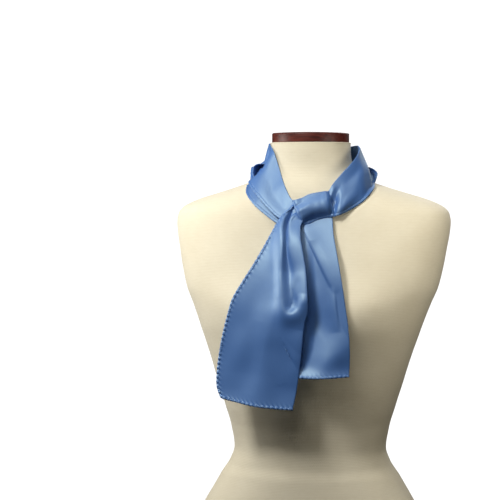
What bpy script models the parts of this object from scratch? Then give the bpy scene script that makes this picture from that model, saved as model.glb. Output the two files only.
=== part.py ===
"""Satin scarf in a half knot, on a limbless dress form.

Metres, +Z up, the front faces -Y and the viewer's left is -X. The origin is the middle of the
form's flat base. The tables below are in millimetres.

The scarf is one satin strip folded in half lengthwise. Each stretch of it is a wall through a grid
of stations along the strip and columns across it, from the fold to the open hemmed edge, where a
groove parts the two layers.
"""
import math
from collections import namedtuple

import bmesh
import bpy
from mathutils import Vector

MM = 0.001

# Driving dimensions, mm
FORM_HEIGHT = 800.0
CAP_HEIGHT = 15.0
CAP_RADIUS = 55.0
CAP_DOME = 1.6
CAP_EDGE = 2.6
CAP_ROUND = 0.3         # share of the edge's size that its corner is cut by
SEAM_GAP = 0.3
DRAW_BACK = 0.6 * SEAM_GAP  # on each side of a seam: a curved seam closes a little as it is cut
STRIP = 2.4             # thickness of the folded strip, two layers
HEM_GROOVE = 4.0        # depth of the groove that parts the layers
STEP_SLOPE = 0.01       # of a column: keeps the upper layer's step from being quite upright
LAYER_GAP = 0.6         # from the form to the strip, and from one stretch to the next
ON_FORM = LAYER_GAP + STRIP / 2
NECK_TOP = FORM_HEIGHT - CAP_HEIGHT - SEAM_GAP

SHARP_ANGLE = 40.0
FORM_SIDES = 40
FORM_STEP = 22.0        # the most from one level section to the next
BAND_COLUMNS = 9
BAND_STEPS = 3
BOW_SKEW = 1.4          # puts a stretch's bow nearer its open edge
TAIL_COLUMNS = 15
TAIL_STEPS = 2
HANG_STEP = 8.0         # steps up the form, to find what hanging cloth falls from
OVERLAP_START, OVERLAP_END = 26.0, 3.0      # the front tail rises over the back one between these
PUSH_PASSES = 5
FIELD_STEP = 0.5

# Level sections of the form, from the base up. Each is widest a little behind the neck's axis.
Section = namedtuple("Section", "z half_width front back squareness widest_y")
FORM = [
    Section(0, 188, 84, 98, 2.3, 0),
    Section(8, 193, 88, 103, 2.3, 0),
    Section(30, 194.5, 89, 104, 2.3, 0),
    Section(80, 195, 90, 105, 2.3, 0),
    Section(130, 194, 92, 106, 2.3, 0),
    Section(170, 190, 94, 106, 2.3, 0),
    Section(218, 179, 95, 103, 2.3, 0),
    Section(250, 163, 95, 98, 2.25, 0),
    Section(273, 150, 94, 93, 2.2, 0),
    Section(292, 139, 93, 88, 2.15, 0),
    Section(311, 128, 92, 83, 2.1, 0),
    Section(330, 115.5, 90, 78, 2.1, 0),
    Section(350, 109, 90, 76, 2.1, 0),
    Section(380, 113.5, 92, 77, 2.1, 0),
    Section(410, 122.5, 96, 79, 2.15, 0),
    Section(440, 131.5, 101, 82, 2.2, 1),
    Section(470, 141, 106, 86, 2.2, 4),
    Section(500, 151, 111, 90, 2.25, 8),
    Section(530, 161.5, 115, 93, 2.3, 12),
    Section(555, 171, 116, 96, 2.3, 16),
    Section(580, 181.5, 113, 98, 2.3, 19),
    Section(610, 188.5, 107, 99, 2.3, 22),
    Section(635, 193, 101, 98, 2.3, 24),
    Section(655, 196.5, 95, 96, 2.3, 25),
    Section(672, 198, 90, 93, 2.25, 25),
    Section(684, 196, 86.5, 90, 2.2, 24),
    Section(692, 190, 84, 88, 2.15, 23),
    Section(699, 178, 81.5, 86, 2.1, 21),
    Section(706, 160, 79, 84, 2.05, 18),
    Section(714, 133, 76, 81, 2, 14),
    Section(722, 107, 72.5, 78, 2, 10),
    Section(730, 84, 68.5, 74, 2, 6),
    Section(737, 71, 64.5, 70, 2, 3),
    Section(745, 64, 61, 66, 2, 1),
    Section(755, 60, 58.5, 62, 2, 0),
    Section(770, 57.5, 57.5, 58, 2, 0),
    Section(NECK_TOP, 57, 57, 57, 2, 0),
]

# The two soft mounds of the bust
BUST_X, BUST_Z = 76.0, 548.0
BUST_WIDTH, BUST_TALL, BUST_DEPTH = 44.0, 46.0, 15.0

# The strip from behind the knot, round the neck and across the knot: its fold edge, its open
# edge, how far it bows out between them, and the least that its middle stays off the form
Band = namedtuple("Band", "stretch fold_x fold_y fold_z open_x open_y open_z bow off")
BANDS = [
    Band("neck_left", 2, -86, 700, -17, -95, 671, 0.5, 4.8),
    Band("neck_left", -14, -84, 703.5, -33, -93, 676, 1, 4.8),
    Band("neck_left", -27, -71.5, 724, -52, -86, 689, 1.5, 2.4),
    Band("neck_left", -40, -50, 752, -68, -77, 702, 2, 1.8),
    Band("neck_left", -48, -38, 770, -81, -60, 716, 0, 1.8),
    Band("neck_left", -56, -20, 781, -84, -44, 724, -3, 1.8),
    Band("neck_back", -59.5, -3, 783, -82, -20, 736, -6, 1.8),
    Band("neck_back", -60, 17, 782, -84, 6, 751, -8, 1.8),
    Band("neck_back", -50, 40, 780, -82, 44, 738, -4, 1.8),
    Band("neck_back", -27, 58.5, 778, -50, 84, 724, 3, 1.8),
    Band("neck_back", 0, 63.5, 777, 0, 94, 719, 5, 1.8),
    Band("neck_back", 28, 59, 778, 54, 84, 724, 3, 1.8),
    Band("neck_back", 52, 42, 779, 88, 48, 736, -4, 1.8),
    Band("neck_back", 64, 20, 780, 98, 14, 744, -8, 1.8),
    Band("neck_right", 67.5, 2, 779, 93, -14, 729, -1, 1.8),
    Band("neck_right", 67, -14, 769, 91, -40, 721, 2, 1.8),
    Band("neck_right", 62, -32, 757, 83, -66, 709, 3, 1.8),
    Band("neck_right", 51, -54, 741, 68, -81, 697, 3, 3),
    Band("neck_right", 42, -70, 727, 54, -91, 688, 2, 5),
    Band("knot_wrap", 36.5, -83.5, 716.5, 44, -96, 685, -1, 8),
    Band("knot_wrap", 31, -88, 716, 38, -98, 684, 3, 8.4),
    Band("knot_wrap", 22, -90.5, 714.5, 29, -98.5, 681.5, 5, 8.4),
    Band("knot_wrap", 11, -92, 712, 19, -99.5, 678, 5.5, 9),
    Band("knot_wrap", 1, -94.5, 707, 10, -102.5, 674.5, 5, 11),
    Band("knot_wrap", -7, -96.5, 704.5, 4.5, -105, 672, 4, 12),
    Band("end", -11.5, -96, 703.8, 1.5, -105, 670, 2.5, 12),
]

# A tail from the knot down: its left and right edges as seen from the front, how far the middle
# of the line between them sags, and how far it stands off the form
Tail = namedtuple("Tail", "left_x left_z right_x right_z sag off")
FRONT_TAIL = [
    Tail(-17.5, 690, -5, 691, 0, 10),
    Tail(-24, 682.5, -4, 682, 0, 10),
    Tail(-31.5, 671.5, -0.5, 670, 0, 9),
    Tail(-42, 653, 3, 654, 0, 7.5),
    Tail(-51.5, 635.5, 5.5, 637, 0, 6),
    Tail(-60.2, 619.5, 8, 619, 0, 4.5),
    Tail(-69, 605, 9.5, 603, 0, 3),
    Tail(-79.5, 588, 11, 587, 0, 2.4),
    Tail(-89.8, 569.5, 12.2, 570, 0, 2),
    Tail(-94.5, 554, 12.6, 552, 0, 2),
    Tail(-100.3, 531.5, 8.2, 534, 0, 2),
    Tail(-104.5, 511.5, 7.3, 513, 0, 2),
    Tail(-108.2, 488, 6, 492, 0, 2),
    Tail(-110.2, 466, 4, 470, 0.5, 2),
    Tail(-109.6, 449, 0.5, 446, 1.5, 2.4),
    Tail(-103.6, 434, -4.3, 421, 3.3, 3),
]
BACK_TAIL = [
    Tail(-17, 670.5, 3, 699.5, 0, 4.8),
    Tail(-13, 664, 22, 702, 0, 4.8),
    Tail(-9, 657, 36, 696, 0, 4.6),
    Tail(-6, 649, 42, 682, 0, 4),
    Tail(-6, 636, 45.5, 657, 0, 3),
    Tail(-9, 618, 50, 638, 0, 2.2),
    Tail(-14, 596, 55.5, 615, 0, 2.4),
    Tail(-19, 572, 60.5, 590, 0, 3.4),
    Tail(-24, 548, 65.5, 560, 0, 3.6),
    Tail(-28, 522, 70, 531, 0, 3.6),
    Tail(-30, 497, 72.3, 498, 0, 3.6),
    Tail(-30, 466, 71.4, 466, 3, 3.6),
]

# Long folds down a tail: where the crest runs, how far it stands proud, and its half width
Fold = namedtuple("Fold", "z x height width")
FRONT_FOLDS = [
    [
        Fold(515, -46, 0, 20), Fold(560, -42, 3, 13), Fold(583, -44, 7, 12), Fold(621, -44, 10, 11),
        Fold(654, -34, 10, 7), Fold(672, -26, 7, 4.5), Fold(690, -16, 3, 3),
    ],
    [
        Fold(535, -2, 0, 12), Fold(571, -3, 5, 9), Fold(610, -5, 9, 8), Fold(637, -8, 11, 7),
        Fold(654, -9, 11, 6), Fold(672, -9.5, 8, 4.5), Fold(690, -8, 3, 3),
    ],
]
POCKET_X, POCKET_Z = -18.0, 545.0           # the soft rim that closes the pocket between them
POCKET_WIDTH, POCKET_TALL, POCKET_RIM = 20.0, 10.0, 6.0
BACK_FOLDS = [
    [Fold(560, 52, 0, 12), Fold(590, 46, 2.5, 9), Fold(631, 22, 4, 8), Fold(665, 8, 2, 7)],
    [Fold(466, 44, 2, 20), Fold(500, 48, 5, 15), Fold(540, 50, 3, 10), Fold(575, 54, 0, 8)],
]

# The bunch that comes up through the loop, from the loop down: centre and half sizes
Bunch = namedtuple("Bunch", "x y z half_width half_depth")
TUCK = [
    Bunch(-11.5, -88.8, 704.4, 2.6, 1.2),
    Bunch(-12, -90.8, 702.2, 4.6, 1.8),
    Bunch(-13, -93.2, 698, 6.6, 2.5),
    Bunch(-12.6, -94.6, 691.6, 7, 2.8),
]
TUCK_RIDGES = 5
TUCK_RIDGE_DEPTH = 0.16  # as a share of the bunch's depth
TUCK_SIDES = 30
TUCK_STEPS = 3

# The hidden layers behind the crossing
PASS_LEFT, PASS_RIGHT, PASS_LOW, PASS_HIGH = -14.0, 12.0, 680.0, 699.0
PASS_ROWS, PASS_COLUMNS = 5, 6


def smoothstep(value, low, high):
    """Rises softly from 0 at low to 1 at high."""
    t = min(max((value - low) / (high - low), 0.0), 1.0)
    return t * t * (3.0 - 2.0 * t)


def bell(value, centre, width):
    """A bell of height 1 round centre."""
    return math.exp(-((value - centre) / width) ** 2)


def slopes(keys, values):
    """Slopes at each row that keep a curve through the rows from overshooting."""
    steps = [(values[i + 1] - values[i]) / (keys[i + 1] - keys[i]) for i in range(len(keys) - 1)]
    inner = [
        0.0 if a * b <= 0 else 2.0 * a * b / (a + b)
        for a, b in zip(steps, steps[1:])
    ]
    return [steps[0]] + inner + [steps[-1]]


class Curves:
    """Smooth curves through the columns of a table whose first column rises."""

    def __init__(self, rows):
        self.keys = [row[0] for row in rows]
        self.columns = [[row[c] for row in rows] for c in range(1, len(rows[0]))]
        self.slopes = [slopes(self.keys, column) for column in self.columns]

    def at(self, key):
        """The other columns' values where the first one is key."""
        keys = self.keys
        key = min(max(key, keys[0]), keys[-1])
        i = max(k for k in range(len(keys) - 1) if keys[k] <= key)
        span = keys[i + 1] - keys[i]
        t = (key - keys[i]) / span
        start, leave = (1 + 2 * t) * (1 - t) ** 2, t * (1 - t) ** 2
        end, arrive = t * t * (3 - 2 * t), t * t * (t - 1)
        return [
            start * v[i] + end * v[i + 1] + span * (leave * s[i] + arrive * s[i + 1])
            for v, s in zip(self.columns, self.slopes)
        ]


FORM_CURVES = Curves(FORM)


def bust(x, z):
    """How far the bust stands proud of the level section."""
    across = bell(x, BUST_X, BUST_WIDTH) + bell(x, -BUST_X, BUST_WIDTH)
    return BUST_DEPTH * across * bell(z, BUST_Z, BUST_TALL)


def form_depth(x, z):
    """How far forward the form reaches at x and z."""
    half_width, front, _, power, widest = FORM_CURVES.at(z)
    side = min(abs(x) / half_width, 1.0)
    return (front + widest + bust(x, z)) * (1.0 - side ** power) ** (1.0 / power) - widest


def form_field(point):
    """0 on the form's surface, more outside it and less inside."""
    half_width, front, back, power, widest = FORM_CURVES.at(point.z)
    y = point.y - widest
    depth = back - widest if y > 0 else front + widest + bust(point.x, point.z)
    return ((abs(point.x) / half_width) ** power + (abs(y) / depth) ** power) ** (1 / power) - 1


def form_normal(point):
    """The field's slope, which points away from the form."""
    steps = (Vector((FIELD_STEP, 0, 0)), Vector((0, FIELD_STEP, 0)), Vector((0, 0, FIELD_STEP)))
    return Vector([
        (form_field(point + step) - form_field(point - step)) / (2 * FIELD_STEP) for step in steps
    ])


def push_out(point, off):
    """Moves a point straight out until it is at least off from the form."""
    for _ in range(PUSH_PASSES):
        slope = form_normal(point)
        distance = form_field(point) / slope.length
        if distance >= off:
            break
        point = point + slope.normalized() * (off - distance)
    return point


def mesh_object(name, verts, faces, material, parts):
    """A closed body from points in mm, with its faces turned outwards."""
    mesh = bpy.data.meshes.new(name)
    mesh.from_pydata([v * MM for v in verts], [], faces)
    bm = bmesh.new()
    bm.from_mesh(mesh)
    bmesh.ops.recalc_face_normals(bm, faces=bm.faces)
    bm.to_mesh(mesh)
    bm.free()
    mesh.shade_smooth()
    mesh.set_sharp_from_angle(angle=math.radians(SHARP_ANGLE))
    mesh.materials.append(material)
    obj = bpy.data.objects.new(name, mesh)
    parts.objects.link(obj)
    return obj


def ring_faces(rings, size):
    """Quads that join each ring of points to the next."""
    return [
        (a * size + k, a * size + (k + 1) % size, (a + 1) * size + (k + 1) % size, (a + 1) * size + k)
        for a in range(rings - 1) for k in range(size)
    ]


def spline(rows, steps):
    """Stations on a smooth curve through rows of numbers, steps to each gap."""
    padded = [rows[0]] + list(rows) + [rows[-1]]
    stations = []
    for a, b, c, d in zip(padded, padded[1:], padded[2:], padded[3:]):
        for step in range(steps):
            t = step / steps
            stations.append([
                0.5 * (2 * q + (r - p) * t + (2 * p - 5 * q + 4 * r - s) * t ** 2
                       + (3 * q - p - 3 * r + s) * t ** 3)
                for p, q, r, s in zip(a, b, c, d)
            ])
    stations.append(list(rows[-1]))
    return stations


def trimmed(grid, start, end):
    """Draws a grid's end stations back from their seams."""
    def drawn(row, inward):
        return [p + (q - p).normalized() * DRAW_BACK for p, q in zip(row, inward)]

    grid = [list(row) for row in grid]
    if start:
        grid[0] = drawn(grid[0], grid[1])
    if end:
        grid[-1] = drawn(grid[-1], grid[-2])
    return grid


def grid_normals(grid):
    """The sheet's own normal at each point of a grid."""
    last_row, last_col = len(grid) - 1, len(grid[0]) - 1
    normals = []
    for i, row in enumerate(grid):
        line = []
        for j in range(len(row)):
            along = grid[min(i + 1, last_row)][j] - grid[max(i - 1, 0)][j]
            across = row[min(j + 1, last_col)] - row[max(j - 1, 0)]
            line.append(along.cross(across).normalized())
        normals.append(line)
    middle = len(grid) // 2, len(grid[0]) // 2
    if normals[middle[0]][middle[1]].dot(form_normal(grid[middle[0]][middle[1]])) < 0:
        normals = [[-n for n in line] for line in normals]
    return normals


def cloth_wall(name, grid, normals, material, parts, hem_end=False, stepped=False):
    """The folded strip as a wall of two layers round a grid of middle points and its normals.

    Columns run from the fold, which is round, to the open edge. There a groove parts the layers,
    or, if stepped is set, the lower layer shows past the upper one. The last station is a hem with
    the same groove if hem_end is set.
    """
    columns = len(grid[0])
    half = STRIP / 2
    verts = []
    for row, line in zip(grid, normals):
        outward = (row[-1] - row[-2]).normalized()
        nose = row[0] + (row[0] - row[1]).normalized() * half
        front = [p + n * half for p, n in zip(row, line)]
        back = [p - n * half for p, n in zip(row, line)]
        parting = row[-1] - outward * HEM_GROOVE
        if stepped:
            front[-1], parting = row[-2].lerp(row[-1], STEP_SLOPE), row[-1]
        verts += front + [parting] + back[::-1] + [nose]
    size = 2 * columns + 2
    faces = ring_faces(len(grid), size)
    base = (len(grid) - 1) * size
    if stepped:
        faces += stepped_cap(0, columns) + stepped_cap(base, columns)
        return mesh_object(name, verts, faces, material, parts)
    faces += end_cap(0, columns)
    if hem_end:
        inward = [(grid[-2][j] - grid[-1][j]).normalized() * HEM_GROOVE for j in range(columns)]
        first = len(verts)
        verts += [grid[-1][j] + inward[j] for j in range(columns - 1)]
        faces += grooved_cap(base, first, columns)
    else:
        faces += end_cap(base, columns)
    return mesh_object(name, verts, faces, material, parts)


def end_cap(base, columns):
    """Closes a wall's end square across its thickness."""
    groove, nose = base + columns, base + 2 * columns + 1
    back = [base + 2 * columns - j for j in range(columns)]
    faces = [(base + j, base + j + 1, back[j + 1], back[j]) for j in range(columns - 2)]
    last, inner = columns - 1, columns - 2
    faces += [
        (base, back[0], nose),
        (base + inner, base + last, groove),
        (base + inner, groove, back[inner]),
        (back[inner], groove, back[last]),
    ]
    return faces


def stepped_cap(base, columns):
    """Closes the end of a wall whose lower layer shows past the upper one."""
    foot, tip, nose = base + columns - 1, base + columns, base + 2 * columns + 1
    back = [base + 2 * columns - j for j in range(columns)]
    inner = columns - 2
    faces = [(base + j, base + j + 1, back[j + 1], back[j]) for j in range(inner - 1)]
    faces += [
        (base, back[0], nose),
        (base + inner - 1, base + inner, foot, back[inner - 1]),
        (back[inner - 1], foot, back[inner]),
        (foot, tip, back[columns - 1], back[inner]),
    ]
    return faces


def grooved_cap(base, first, columns):
    """Closes a wall's end with a groove that runs into the one along its open edge."""
    groove, nose = base + columns, base + 2 * columns + 1
    back = [base + 2 * columns - j for j in range(columns)]
    bottom = [first + j for j in range(columns - 1)] + [groove]
    faces = [(base, bottom[0], back[0], nose)]
    for j in range(columns - 1):
        faces.append((base + j, base + j + 1, bottom[j + 1], bottom[j]))
        faces.append((bottom[j], bottom[j + 1], back[j + 1], back[j]))
    return faces


def band_grids():
    """The strip from behind the knot, round the neck and across the knot, cut into stretches.

    Gives each stretch's grid and normals. Those at a seam are the same on both sides of it.
    """
    stations = spline([row[1:] for row in BANDS], BAND_STEPS)
    grid, first = [], {}
    for index, values in enumerate(stations):
        row = Band("", *values)
        fold = Vector((row.fold_x, row.fold_y, row.fold_z))
        edge = Vector((row.open_x, row.open_y, row.open_z))
        line = []
        for column in range(BAND_COLUMNS):
            u = column / (BAND_COLUMNS - 1)
            point = fold.lerp(edge, u)
            bow = row.bow * math.sin(math.pi * u ** BOW_SKEW)
            point = point + form_normal(point).normalized() * bow
            line.append(push_out(point, row.off))
        grid.append(line)
        first.setdefault(BANDS[index // BAND_STEPS].stretch, index)
    normals = grid_normals(grid)
    starts = list(first.items())
    return [
        (name, grid[start:end + 1], normals[start:end + 1])
        for (name, start), (_, end) in zip(starts, starts[1:])
    ]


def fold_height(folds, x, z):
    """How far the long folds of a tail stand proud at x and z."""
    total = 0.0
    for curves in folds:
        crest, height, width = curves.at(z)
        total += height * bell(x, crest, width)
    return total


def hang_depth(x, z):
    """Cloth lies on the form down to the bust and hangs plumb below it."""
    depth = form_depth(x, z)
    above = z
    while above < BUST_Z + BUST_TALL:
        above += HANG_STEP
        depth = max(depth, form_depth(x, above))
    return depth


def tail_rows(table):
    """A tail's stations, each a list of level places from its left edge to its right one."""
    rows = []
    for values in spline(table, TAIL_STEPS):
        row = Tail(*values)
        line = []
        for column in range(TAIL_COLUMNS):
            u = column / (TAIL_COLUMNS - 1)
            x = row.left_x + (row.right_x - row.left_x) * u
            z = row.left_z + (row.right_z - row.left_z) * u - row.sag * math.sin(math.pi * u)
            line.append((x, z))
        rows.append((row, line))
    return rows


BACK_CURVES = [Curves(fold) for fold in BACK_FOLDS]
FRONT_CURVES = [Curves(fold) for fold in FRONT_FOLDS]
BACK_EDGE = Curves([(row.left_z, row.left_x, row.off) for row in reversed(BACK_TAIL)])


def back_off(x, z):
    """How far the back tail's middle stands off the form."""
    _, off = BACK_EDGE.at(z)
    return off + fold_height(BACK_CURVES, x, z)


def back_tail_grid():
    """The back tail from behind the knot to its hem, its fold on the right."""
    grid = []
    for row, line in tail_rows(BACK_TAIL):
        points = []
        for x, z in reversed(line):
            off = row.off + fold_height(BACK_CURVES, x, z)
            points.append(push_out(Vector((x, -hang_depth(x, z) - off, z)), ON_FORM))
        grid.append(points)
    return grid


def front_tail_grid():
    """The front tail from the knot to its hem, over the back one, its fold on the right."""
    grid = []
    for row, line in tail_rows(FRONT_TAIL):
        middle = line[TAIL_COLUMNS // 2]
        flat = hang_depth(*middle)
        points = []
        for x, z in reversed(line):
            edge, _ = BACK_EDGE.at(z)
            over = smoothstep(x, edge - OVERLAP_START, edge - OVERLAP_END)
            lift = over * (back_off(x, z) + STRIP + LAYER_GAP)
            folds = fold_height(FRONT_CURVES, x, z)
            rim = bell(x, POCKET_X, POCKET_WIDTH) * bell(z, POCKET_Z, POCKET_TALL)
            depth = hang_depth(x, z)
            depth = max(depth, (depth + flat) / 2)
            off = max(row.off, lift) + folds + POCKET_RIM * rim
            points.append(push_out(Vector((x, -depth - off, z)), ON_FORM))
        grid.append(points)
    return grid


def knot_pass(material, parts):
    """The hidden layers behind the crossing, lying on the form."""
    grid = []
    for i in range(PASS_ROWS):
        z = PASS_HIGH + (PASS_LOW - PASS_HIGH) * i / (PASS_ROWS - 1)
        line = []
        for j in range(PASS_COLUMNS):
            x = PASS_LEFT + (PASS_RIGHT - PASS_LEFT) * j / (PASS_COLUMNS - 1)
            line.append(push_out(Vector((x, -form_depth(x, z), z)), ON_FORM))
        grid.append(line)
    cloth_wall("knot_pass", grid, grid_normals(grid), material, parts)


def knot_tuck(material, parts):
    """The gathered bunch, a ridged roll that widens from the loop down."""
    verts = []
    stations = spline(TUCK, TUCK_STEPS)
    for index, values in enumerate(stations):
        row = Bunch(*values)
        centre = Vector((row.x, row.y, row.z))
        before = Vector(stations[max(index - 1, 0)][:3])
        after = Vector(stations[min(index + 1, len(stations) - 1)][:3])
        side = Vector((1, 0, 0))
        forward = (after - before).normalized().cross(side).normalized()
        for k in range(TUCK_SIDES):
            angle = 2 * math.pi * k / TUCK_SIDES
            wave = math.cos(TUCK_RIDGES * 2 * angle) * abs(math.sin(angle))
            ridge = 1 + TUCK_RIDGE_DEPTH * wave
            verts.append(centre + side * (row.half_width * math.cos(angle))
                         + forward * (row.half_depth * ridge * math.sin(angle)))
    rings = len(stations)
    faces = ring_faces(rings, TUCK_SIDES)
    faces.append(tuple(range(TUCK_SIDES)))
    faces.append(tuple(range((rings - 1) * TUCK_SIDES, rings * TUCK_SIDES)))
    return mesh_object("knot_tuck", verts, faces, material, parts)


def form_torso(material, parts):
    """The padded torso: level sections, squarer at the shoulders and hips, round at the neck."""
    levels = []
    for low, high in zip(FORM, FORM[1:]):
        count = max(1, math.ceil((high.z - low.z) / FORM_STEP))
        levels += [low.z + (high.z - low.z) * k / count for k in range(count)]
    levels.append(NECK_TOP)
    verts = []
    for z in levels:
        half_width, front, back, power, widest = FORM_CURVES.at(z)
        for k in range(FORM_SIDES):
            angle = 2 * math.pi * k / FORM_SIDES
            across, deep = math.cos(angle), math.sin(angle)
            x = half_width * math.copysign(abs(across) ** (2 / power), across)
            depth = back - widest if deep > 0 else front + widest + bust(x, z)
            y = widest + depth * math.copysign(abs(deep) ** (2 / power), deep)
            verts.append(Vector((x, y, z)))
    faces = ring_faces(len(levels), FORM_SIDES)
    faces.append(tuple(range(FORM_SIDES)))
    faces.append(tuple(range((len(levels) - 1) * FORM_SIDES, len(levels) * FORM_SIDES)))
    return mesh_object("form_torso", verts, faces, material, parts)


def neck_cap(material, parts):
    """The turned wooden cap: a profile spun round the neck's axis."""
    edge = CAP_EDGE * CAP_ROUND
    profile = [
        (0, CAP_HEIGHT), (CAP_RADIUS / 2, CAP_HEIGHT - CAP_DOME / 4),
        (CAP_RADIUS - CAP_EDGE, CAP_HEIGHT - CAP_DOME),
        (CAP_RADIUS - edge, CAP_HEIGHT - CAP_DOME - edge),
        (CAP_RADIUS, CAP_HEIGHT - CAP_DOME - CAP_EDGE), (CAP_RADIUS, CAP_EDGE / 2),
        (CAP_RADIUS - CAP_EDGE / 2, 0), (0, 0),
    ]
    mesh = bpy.data.meshes.new("neck_cap")
    points = [(r * MM, 0, h * MM) for r, h in profile]
    mesh.from_pydata(points, [(i, i + 1) for i in range(len(points) - 1)], [])
    mesh.materials.append(material)
    obj = bpy.data.objects.new("neck_cap", mesh)
    obj.location = (0, 0, (FORM_HEIGHT - CAP_HEIGHT) * MM)
    parts.objects.link(obj)
    spin = obj.modifiers.new("turned", "SCREW")
    spin.axis = "Z"
    spin.steps = spin.render_steps = FORM_SIDES
    spin.use_merge_vertices = True
    spin.merge_threshold = 0.0001
    spin.use_smooth_shade = True
    return obj


def finish(name, colour, roughness, sheen=0.0, coat=0.0):
    """A plain Principled material."""
    material = bpy.data.materials.new(name)
    material.use_nodes = True
    shader = material.node_tree.nodes["Principled BSDF"]
    shader.inputs["Base Color"].default_value = (*colour, 1.0)
    shader.inputs["Roughness"].default_value = roughness
    shader.inputs["Metallic"].default_value = 0.0
    shader.inputs["Sheen Weight"].default_value = sheen
    shader.inputs["Coat Weight"].default_value = coat
    return material


def main():
    """Builds every piece into one collection."""
    for obj in list(bpy.data.objects):
        bpy.data.objects.remove(obj, do_unlink=True)
    parts = bpy.data.collections.new("satin_scarf_on_dress_form")
    bpy.context.scene.collection.children.link(parts)

    jersey = finish("jersey", (0.80, 0.74, 0.60), 0.9, sheen=0.2)
    wood = finish("mahogany", (0.11, 0.018, 0.012), 0.3, coat=0.5)
    form_torso(jersey, parts)
    neck_cap(wood, parts)

    satin = finish("satin", (0.10, 0.24, 0.56), 0.38, sheen=0.3)
    for name, grid, normals in band_grids():
        strip = trimmed(grid, True, True)
        cloth_wall(name, strip, normals, satin, parts, stepped=name == "neck_left")
    for name, grid in (("back_tail", back_tail_grid()), ("front_tail", front_tail_grid())):
        strip = trimmed(grid, True, False)
        cloth_wall(name, strip, grid_normals(grid), satin, parts, hem_end=True)
    knot_pass(satin, parts)
    knot_tuck(satin, parts)


main()
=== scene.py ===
"""Looks of a satin scarf in a half knot, worn by a limbless dress form.

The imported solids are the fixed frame: metres, +Z up, the front faces -Y and the viewer's left is -X.
The tables are in millimetres. Every surface is a formula on a grid, worked out with numpy as whole
arrays. The scarf is one satin strip folded in half lengthwise. A stretch of it is a middle surface
between its fold and its open edge, and its two layers lie on either side of that surface.
"""
from __future__ import annotations

import logging
import math
from dataclasses import dataclass, field
from enum import Enum
from typing import Sequence

import bpy
import numpy as np
from mathutils import Matrix, Vector

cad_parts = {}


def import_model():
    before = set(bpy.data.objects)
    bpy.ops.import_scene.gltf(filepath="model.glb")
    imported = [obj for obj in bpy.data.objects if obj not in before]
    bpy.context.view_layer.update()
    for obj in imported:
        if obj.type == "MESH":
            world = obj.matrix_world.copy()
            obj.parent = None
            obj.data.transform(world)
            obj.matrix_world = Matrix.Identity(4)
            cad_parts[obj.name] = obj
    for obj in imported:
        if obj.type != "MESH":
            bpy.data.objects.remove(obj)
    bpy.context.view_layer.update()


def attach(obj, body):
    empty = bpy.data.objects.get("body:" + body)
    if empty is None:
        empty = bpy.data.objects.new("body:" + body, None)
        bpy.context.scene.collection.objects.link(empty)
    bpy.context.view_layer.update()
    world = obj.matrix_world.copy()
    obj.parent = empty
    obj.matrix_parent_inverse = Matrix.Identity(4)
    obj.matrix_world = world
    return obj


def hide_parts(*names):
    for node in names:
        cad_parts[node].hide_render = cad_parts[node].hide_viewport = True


LOG = logging.getLogger("scarf")

MM = 0.001
BODY = "root"
UV_NAME = "cloth"

# The strip, as in the solids
STRIP = 2.4
LAYER_GAP = 0.6
ON_FORM = LAYER_GAP + STRIP / 2
SATIN_THICKNESS = 0.34
STITCH_PITCH = 6.6

# A table is rows of numbers. The comment above it names its columns.
Table = Sequence[Sequence[float]]

# Level sections of the form: height, half width, front, back, squareness and widest place in y
FORM_SECTIONS = (
    (0, 188, 84, 98, 2.3, 0), (8, 193, 88, 103, 2.3, 0), (30, 194.5, 89, 104, 2.3, 0),
    (80, 195, 90, 105, 2.3, 0), (130, 194, 92, 106, 2.3, 0), (170, 190, 94, 106, 2.3, 0),
    (218, 179, 95, 103, 2.3, 0), (250, 163, 95, 98, 2.25, 0), (273, 150, 94, 93, 2.2, 0),
    (292, 139, 93, 88, 2.15, 0), (311, 128, 92, 83, 2.1, 0), (330, 115.5, 90, 78, 2.1, 0),
    (350, 109, 90, 76, 2.1, 0), (380, 113.5, 92, 77, 2.1, 0), (410, 122.5, 96, 79, 2.15, 0),
    (440, 131.5, 101, 82, 2.2, 1), (470, 141, 106, 86, 2.2, 4), (500, 151, 111, 90, 2.25, 8),
    (530, 161.5, 115, 93, 2.3, 12), (555, 171, 116, 96, 2.3, 16), (580, 181.5, 113, 98, 2.3, 19),
    (610, 188.5, 107, 99, 2.3, 22), (635, 193, 101, 98, 2.3, 24), (655, 196.5, 95, 96, 2.3, 25),
    (672, 198, 90, 93, 2.25, 25), (684, 196, 86.5, 90, 2.2, 24), (692, 190, 84, 88, 2.15, 23),
    (699, 178, 81.5, 86, 2.1, 21), (706, 160, 79, 84, 2.05, 18), (714, 133, 76, 81, 2, 14),
    (722, 107, 72.5, 78, 2, 10), (730, 84, 68.5, 74, 2, 6), (737, 71, 64.5, 70, 2, 3),
    (745, 64, 61, 66, 2, 1), (755, 60, 58.5, 62, 2, 0), (770, 57.5, 57.5, 58, 2, 0),
    (784.7, 57, 57, 57, 2, 0),
)

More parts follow.
